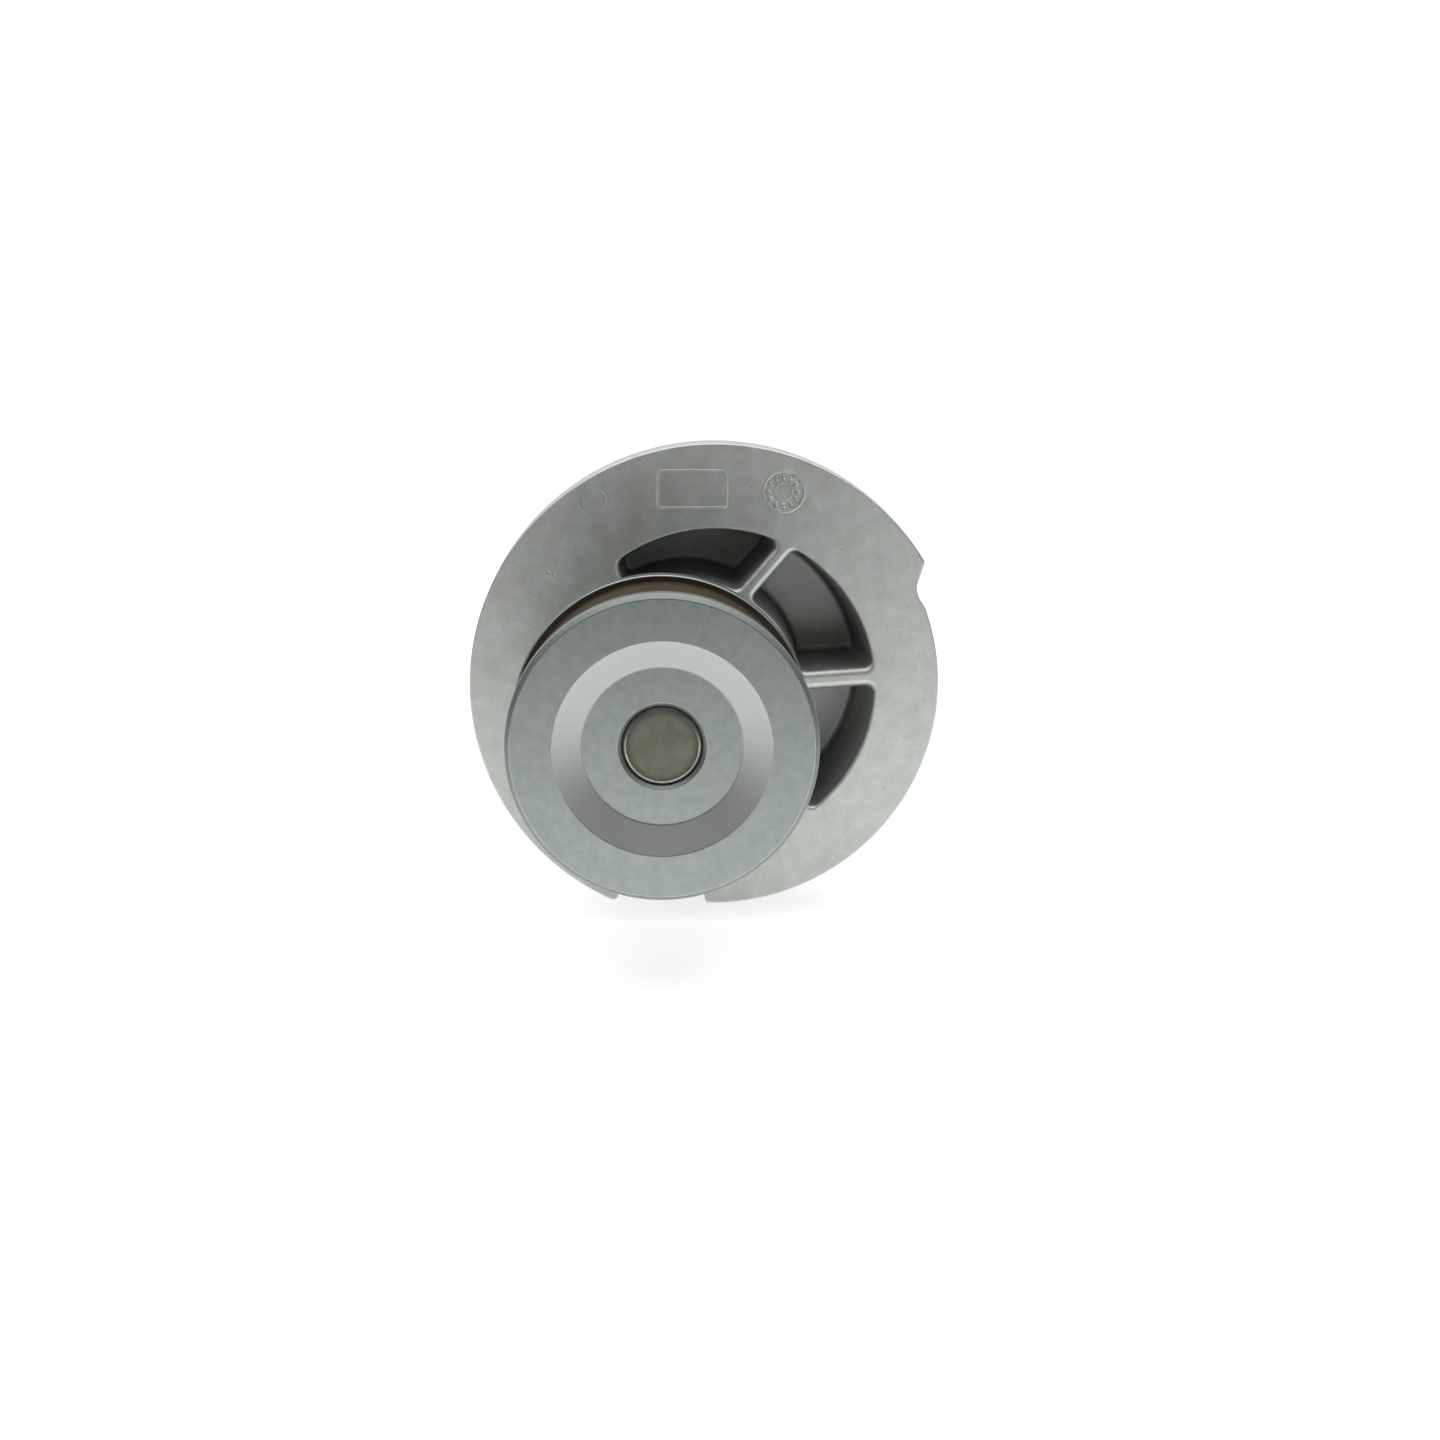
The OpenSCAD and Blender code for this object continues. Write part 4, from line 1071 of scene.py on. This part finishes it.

# %% [markdown]
# ### Cast aluminium
#
# The casting is a light, slightly green grey. It is metal, but its grain spreads the reflection so wide that
# it looks almost like a dull paint. Edges and machined faces are brighter and smoother, the pits hold a
# little brown film, and the pockets get painted shade that darkens with depth.

# %% Cast aluminium
# The pocket colour is painted shade for the pockets' depths.
STAIN, PIT_FILM, POCKET_SHADE = rgb(0.33, 0.31, 0.26), rgb(0.24, 0.23, 0.2), rgb(0.1, 0.09, 0.08)
CUT_DARK, CUT_LIGHT, CUT_ROUGH = rgb(0.42, 0.425, 0.42), rgb(0.51, 0.515, 0.505), 0.32
FACE_Y = -FLANGE_T * MM


def cast_metal(name, base, dark, bright):
    """Grainy cast metal. Where the zone mask is above zero it is machined, and where it is below zero painted
    shade darkens it by how deep it lies under the flange's face."""
    made, tree, shader, where = material(name)
    skin = use(tree, grain, Where=where)
    lines = use(tree, turning, Where=where)
    worn = use(tree, wear, Where=where, Edge=mask(tree, "edge"), Amount=0.25)["Wear"]
    zone = mask(tree, "zone")
    cut = maths(tree, "MAXIMUM", zone, 0.0)
    pocket = maths(tree, "MULTIPLY", zone, -1.0, clamp=True)
    y = node(tree, "SeparateXYZ", {0: where}).outputs[1]
    # Painted shade: the deeper a point lies under the flange's face, the darker the pockets are painted.
    deep = span(tree, y, FACE_Y + 0.0005, FACE_Y + 0.012, 0.0, 0.28)
    stains = span(tree, noise(tree, where, 45.0, 6.0, 0.7), 0.5, 0.75, 0.0, 0.3)
    colour = blend(tree, span(tree, skin["Tone"], 0.3, 0.7), dark, base)
    colour = blend(tree, stains, colour, STAIN)
    colour = blend(tree, maths(tree, "MULTIPLY", skin["Pits"], 0.25), colour, PIT_FILM)
    colour = blend(tree, maths(tree, "MULTIPLY", deep, pocket), colour, POCKET_SHADE)
    colour = blend(tree, worn, colour, bright)
    colour = blend(tree, cut, colour, blend(tree, lines["Tone"], CUT_DARK, CUT_LIGHT))
    rough = maths(tree, "MULTIPLY_ADD", skin["Tone"], 0.16, 0.46)
    rough = maths(tree, "MULTIPLY_ADD", worn, -0.2, rough)
    height = mix(tree, cut, skin["Height"], maths(tree, "MULTIPLY", lines["Height"], 0.25))
    surface(tree, shader, colour, mix(tree, cut, rough, CUT_ROUGH), height, 0.55, 0.00012)
    shader.inputs["Metallic"].default_value = 1.0
    return made


CAST = cast_metal("cast_aluminium", rgb(0.61, 0.635, 0.61), rgb(0.44, 0.465, 0.44), rgb(0.72, 0.73, 0.71))
print(CAST.name, "has", len(CAST.node_tree.nodes), "nodes")

# %% [markdown]
# ### Turned and ground steel
#
# Steel from a lathe is smoother and shows its rings when light grazes it. One function makes all
# the steels of this pump: the pulley's grey phosphate bloom, the bright shaft, the pressed plates.
# A belt leaves a brown film in bands round its groove. Where the film is thin it is a neutral dark grey, and
# on the rim's chamfer that grey is painted shade. The recess's cone is painted brighter, as a painted
# reflection.

# %% Steels
BELT_DARK, BELT_LIGHT, BELT_CLOUD = rgb(0.055, 0.043, 0.027), rgb(0.095, 0.08, 0.056), rgb(0.13, 0.118, 0.095)
# Thin film on the front rim and in the bore; on the rim's chamfer it is painted shade.
THIN_FILM_AND_SHADE = rgb(0.058, 0.062, 0.068)


def belt_film(tree, zone, rings, cloud):
    """The colour of the film: two browns in the rings' bands, clouded, and neutral where it is thin, which on
    the rim's chamfer is painted shade.
    """
    brown = blend(tree, span(tree, rings["Tone"], 0.35, 0.65), BELT_DARK, BELT_LIGHT)
    brown = blend(tree, span(tree, cloud, 0.5, 0.8, 0.0, 0.35), brown, BELT_CLOUD)
    return blend(tree, span(tree, zone, 0.75, 0.95), THIN_FILM_AND_SHADE, brown)


def steel(name, light, shade, rough, lines=0.3, mottle=0.4, stain=rgb(0.25, 0.2, 0.13), stain_amount=0.15,
          cloud_scale=160.0, worn_and_sheen_to=rgb(0.82, 0.82, 0.8)):
    """Turned, ground or pressed steel: two tones that drift into each other, fine rings, worn edges, a stain
    here and there, and what the zone mask names: the film, which on the rim's chamfer is painted shade, and
    below zero a painted reflection that lifts the colour."""
    made, tree, shader, where = material(name)
    worn = use(tree, wear, Where=where, Edge=mask(tree, "edge"), Amount=0.7)["Wear"]
    zone = mask(tree, "zone")
    painted_sheen = maths(tree, "MULTIPLY", zone, -1.0, clamp=True)
    film = maths(tree, "MAXIMUM", zone, 0.0)
    rings = use(tree, turning, Where=where, Axis=(SHAFT[0] * MM, 0, SHAFT[1] * MM))
    cloud = noise(tree, where, cloud_scale, 5.0, 0.65)
    speck = noise(tree, where, 900.0, 3.0, 0.6)
    tone = weigh(tree, span(tree, cloud, 0.35, 0.65), 0.6, speck, 0.5, clamp=True)
    tone = sway(tree, tone, mottle, 0.5)
    tone = sway(tree, rings["Tone"], lines, tone, clamp=True)
    stains = span(tree, noise(tree, where, 90.0, 6.0, 0.7), 0.5, 0.75, 0.0, stain_amount)
    coat = span(tree, sway(tree, tone, 0.5, film), 0.15, 0.85)
    colour = blend(tree, tone, shade, light)
    colour = blend(tree, stains, colour, stain)
    # Painted reflection: where the zone is below zero the colour is lifted towards the bright edge colour.
    colour = blend(tree, maths(tree, "MULTIPLY", painted_sheen, 0.95), colour, worn_and_sheen_to)
    colour = blend(tree, maths(tree, "MULTIPLY", coat, film), colour, belt_film(tree, film, rings, cloud))
    colour = blend(tree, worn, colour, worn_and_sheen_to)
    level = maths(tree, "MULTIPLY_ADD", speck, 0.1, rough - 0.05)
    for cause, change in ((film, 0.35), (painted_sheen, 0.12), (worn, -0.5 * rough)):
        level = maths(tree, "MULTIPLY_ADD", cause, change, level)
    surface(tree, shader, colour, level, weigh(tree, rings["Height"], lines, speck, 0.3), 0.35, 0.00004)
    shader.inputs["Metallic"].default_value = 1.0
    return made


# The last colour serves both the worn edges and the cone's painted reflection.
PULLEY_STEEL = steel("pulley_steel", rgb(0.295, 0.33, 0.312), rgb(0.228, 0.258, 0.243), 0.38, lines=0.15,
                     mottle=0.95, cloud_scale=420.0, stain=rgb(0.30, 0.27, 0.255),
                     worn_and_sheen_to=rgb(0.42, 0.44, 0.43))
SHAFT_STEEL = steel("shaft_steel", rgb(0.155, 0.162, 0.128), rgb(0.10, 0.105, 0.08), 0.34, lines=0.35,
                    mottle=0.8, cloud_scale=300.0, stain=rgb(0.09, 0.075, 0.04), stain_amount=0.6,
                    worn_and_sheen_to=rgb(0.42, 0.43, 0.4))
BEARING_STEEL = steel("bearing_steel", rgb(0.60, 0.60, 0.59), rgb(0.50, 0.50, 0.49), 0.26)
BALL_STEEL = steel("ball_steel", rgb(0.68, 0.68, 0.68), rgb(0.63, 0.63, 0.63), 0.12, lines=0.0, mottle=0.1)
SHEET_STEEL = steel("sheet_steel", rgb(0.46, 0.455, 0.435), rgb(0.36, 0.355, 0.34), 0.32, lines=0.0)
BRASS = steel("seal_brass", rgb(0.72, 0.53, 0.26), rgb(0.60, 0.43, 0.20), 0.3, lines=0.0)
print(PULLEY_STEEL.name, "has", len(PULLEY_STEEL.node_tree.nodes), "nodes, and so has every other steel")

# %% [markdown]
# ### Rubber, carbon, ceramic and moulded plastic
#
# The dull pieces differ in how dark they are and how their light spreads. Rubber has a soft bloom,
# carbon a dark lapped sheen, the ceramic is a warm white, and the impeller's plastic is filled
# with glass, which shows as faint flow marks. The ball cages are a plastic of pale straw.

# %% Dull pieces
def dull(name, light, shade, rough, scale=400.0, sheen=0.0):
    """A non-metal with drifting tone, a fine grain and paler edges."""
    made, tree, shader, where = material(name)
    worn = use(tree, wear, Where=where, Edge=mask(tree, "edge"), Amount=0.35)["Wear"]
    cloud = noise(tree, where, scale * 0.2, 4.0, 0.6)
    fine = noise(tree, where, scale * 4, 3.0, 0.6)
    tone = weigh(tree, span(tree, cloud, 0.35, 0.65), 0.7, fine, 0.4, clamp=True)
    paler = rgb(*(min(1.0, 0.06 + 1.6 * channel) for channel in light[:3]))
    colour = blend(tree, worn, blend(tree, tone, shade, light), paler)
    level = maths(tree, "MULTIPLY_ADD", tone, 0.12, rough - 0.06)
    surface(tree, shader, colour, level, maths(tree, "MULTIPLY_ADD", fine, 0.7, cloud), 0.4, 0.00003)
    shader.inputs["Sheen Weight"].default_value = sheen
    return made


RUBBER = dull("black_rubber", rgb(0.024, 0.023, 0.022), rgb(0.013, 0.013, 0.013), 0.5, 500.0, sheen=0.1)
CARBON = dull("seal_carbon", rgb(0.05, 0.052, 0.055), rgb(0.03, 0.032, 0.035), 0.35, 900.0)
CERAMIC = dull("seal_ceramic", rgb(0.80, 0.77, 0.70), rgb(0.74, 0.71, 0.64), 0.3, 700.0)
PLASTIC = dull("impeller_plastic", rgb(0.035, 0.036, 0.038), rgb(0.02, 0.021, 0.023), 0.42, 300.0)
CAGE = dull("cage_plastic", rgb(0.75, 0.70, 0.55), rgb(0.66, 0.61, 0.47), 0.4)
print(RUBBER.name, "has", len(RUBBER.node_tree.nodes), "nodes, and so has every other dull finish")

# %% [markdown]
# ## Making the pieces
#
# Each shell becomes one object, takes its finish, rides on its body and stands for its solid.

# %% The new pieces
piece(housing, "housing_casting", "housing_body", ["housing"], CAST)
piece(pulley, "pulley_turned", "rotor", ["pulley"], PULLEY_STEEL)
piece(shaft, "shaft_ground", "rotor", ["shaft"], SHAFT_STEEL)
piece(ring_shell, "sealing_ring", "housing_body", ["housing_o_ring"], RUBBER)
piece(impeller, "impeller_moulded", "rotor", ["impeller"], PLASTIC)

# %% [markdown]
# The solids inside the bearing and the face seal have the right shapes already, so they keep their
# meshes and only get finishes.

# %% Finishes of the kept solids
FINISH = {
    BEARING_STEEL: ["bearing_outer_ring"],
    BALL_STEEL: ["front_balls", "rear_balls"],
    CAGE: ["front_ball_cage", "rear_ball_cage"],
    RUBBER: ["front_bearing_seal", "rear_bearing_seal", "seal_bellows", "mating_ring_boot"],
    SHEET_STEEL: ["front_seal_stiffener", "rear_seal_stiffener", "slinger", "bellows_clamp_ring",
                  "seal_spring", "spring_collar", "seal_sleeve", "impeller_bush"],
    BRASS: ["seal_case"],
    CARBON: ["carbon_ring"],
    CERAMIC: ["mating_ring"],
}
for finish, names in FINISH.items():
    for name in names:
        for slot in nodes[name].material_slots:
            slot.material = finish
print("kept solids:", sum(len(names) for names in FINISH.values()))

# %% [markdown]
# ## The stage
#
# The pump stands on a white floor in a white room. A surface that is seen directly should be plain
# white, but it would flood the part with light if it glowed for every ray. So the floor glows only
# for the camera and in mirrors, and under lamps it is a plain pale paper that keeps the shadow. The
# world is full white for the camera and in mirrors, and half as strong for all other rays.

# %% Floor and world
FLOOR, FLOOR_HALF, FLOOR_GLOW, WORLD_FILL = -LARGE_R * MM, 3, 0.62, 0.5


def plate(name, corners, finish):
    """A flat card through four corners, in metres."""
    mesh = bpy.data.meshes.new(name)
    mesh.from_pydata([tuple(c) for c in corners], [], [(0, 1, 2, 3)])
    mesh.materials.append(finish)
    card = bpy.data.objects.new(name, mesh)
    bpy.context.scene.collection.objects.link(card)
    return card


white = bpy.data.materials.new("white_floor")
tree = blank(white)
rays = node(tree, "LightPath").outputs
mirrored = maths(tree, "MAXIMUM", rays["Is Glossy Ray"], rays["Is Transmission Ray"])
glow_level = weigh(tree, rays["Is Camera Ray"], FLOOR_GLOW, mirrored, FLOOR_GLOW)
paper = node(tree, "BsdfDiffuse", {"Color": rgb(0.82, 0.82, 0.82)})
glow = node(tree, "Emission", {"Color": rgb(1, 1, 1), "Strength": glow_level})
both = node(tree, "AddShader", {0: paper.outputs[0], 1: glow.outputs[0]})
node(tree, "OutputMaterial", {"Surface": both.outputs[0]})
square = [(-1, -1), (1, -1), (1, 1), (-1, 1)]
plate("floor", [(FLOOR_HALF * x, FLOOR_HALF * y, FLOOR) for x, y in square], white)

world = bpy.data.worlds.new("studio")
bpy.context.scene.world = world
tree = blank(world)
rays = node(tree, "LightPath").outputs
seen = maths(tree, "MAXIMUM", rays["Is Camera Ray"], rays["Is Glossy Ray"])
seen = maths(tree, "MAXIMUM", seen, rays["Is Transmission Ray"])
strength = span(tree, seen, 0, 1, WORLD_FILL, 1.0)
sky = node(tree, "Background", {"Color": rgb(1, 1, 1), "Strength": strength})
node(tree, "OutputWorld", {"Surface": sky.outputs[0]})
print("floor at", FLOOR)

# %% [markdown]
# ## Lamps and cards
#
# A large soft box above and in front lights the pump, and a small one that lies on the floor stands
# for the light that a white table throws back up. Bare metal shows its surroundings, so in an all
# white room it has no form, and a studio puts up dark cards for it to mirror. Here three of them
# stand round the pump, low at the sides and higher in front. Only mirrors find them: they throw no
# shadow, and the camera doesn't see them.

# %% Lamps and cards
def soft_box(name, place, aim, size, power):
    """A square lamp that looks from one point to another, in metres and watts."""
    light = bpy.data.lights.new(name, "AREA")
    light.shape, light.size, light.energy = "SQUARE", size, power
    lamp = bpy.data.objects.new(name, light)
    bpy.context.scene.collection.objects.link(lamp)
    lamp.location = place
    lamp.rotation_euler = (Vector(aim) - Vector(place)).to_track_quat("-Z", "Y").to_euler()
    return lamp


BOUNCE_Y, LIFT = -0.17, 0.001
CARD_SIDE, CARD_FRONT, CARD_DEPTH, CARD_LOW, CARD_HIGH = 0.5, -0.4, 0.3, 0.3, 0.6
soft_box("top_box", (0, -0.2, 0.8), (0, 0, 0), 1.2, 5.5)
bounce = soft_box("bounce", (0, BOUNCE_Y, FLOOR + LIFT), (0, BOUNCE_Y, 1), 0.27, 0.07)
bounce.visible_camera = False
card_finish = bpy.data.materials.new("dark_card")
card_finish.use_nodes = True
card_shader = card_finish.node_tree.nodes["Principled BSDF"]
plug(card_finish.node_tree, card_shader, {"Base Color": rgb(0.15, 0.15, 0.14), "Roughness": 0.9})
CARDS = [
    ((-CARD_SIDE, CARD_FRONT), (CARD_SIDE, CARD_FRONT), CARD_HIGH),
    ((-CARD_SIDE, CARD_DEPTH), (-CARD_SIDE, -CARD_DEPTH), CARD_LOW),
    ((CARD_SIDE, -CARD_DEPTH), (CARD_SIDE, CARD_DEPTH), CARD_LOW)]
for k, (start, end, tall) in enumerate(CARDS):
    corners = [(*start, FLOOR), (*end, FLOOR), (*end, tall), (*start, tall)]
    card = plate(f"dark_card_{k}", corners, card_finish)
    card.visible_camera = card.visible_diffuse = card.visible_shadow = False
print("lamps:", len(bpy.data.lights), "cards:", len(CARDS))

# %% [markdown]
# ## The camera
#
# The camera stands in front of the pulley and looks down on it by 13 degrees. Its frame is made
# from two directions: the one to its right and the one behind it, from which the third follows
# as their cross product. The right is first made square to the back.

# %% Camera
CAMERA_AT = (-0.01465, -0.4364, 0.0924)
right = np.array([0.99931, -0.03700, 0.0])
back = np.array([-0.03604, -0.97345, 0.22604])
right = right - back * (right @ back) / (back @ back)
right, back = right / np.linalg.norm(right), back / np.linalg.norm(back)
up = np.cross(back, right)
stand = np.eye(4)
stand[:3] = np.column_stack([right, up, back, CAMERA_AT])
camera_data = bpy.data.cameras.new("camera")
camera_data.lens, camera_data.sensor_width = 50, 36
camera = bpy.data.objects.new("camera", camera_data)
bpy.context.scene.collection.objects.link(camera)
camera.matrix_world = Matrix(stand.tolist())
bpy.context.scene.camera = camera
bpy.context.scene.view_settings.view_transform = "Standard"
print("camera up:", np.round(up, 4))
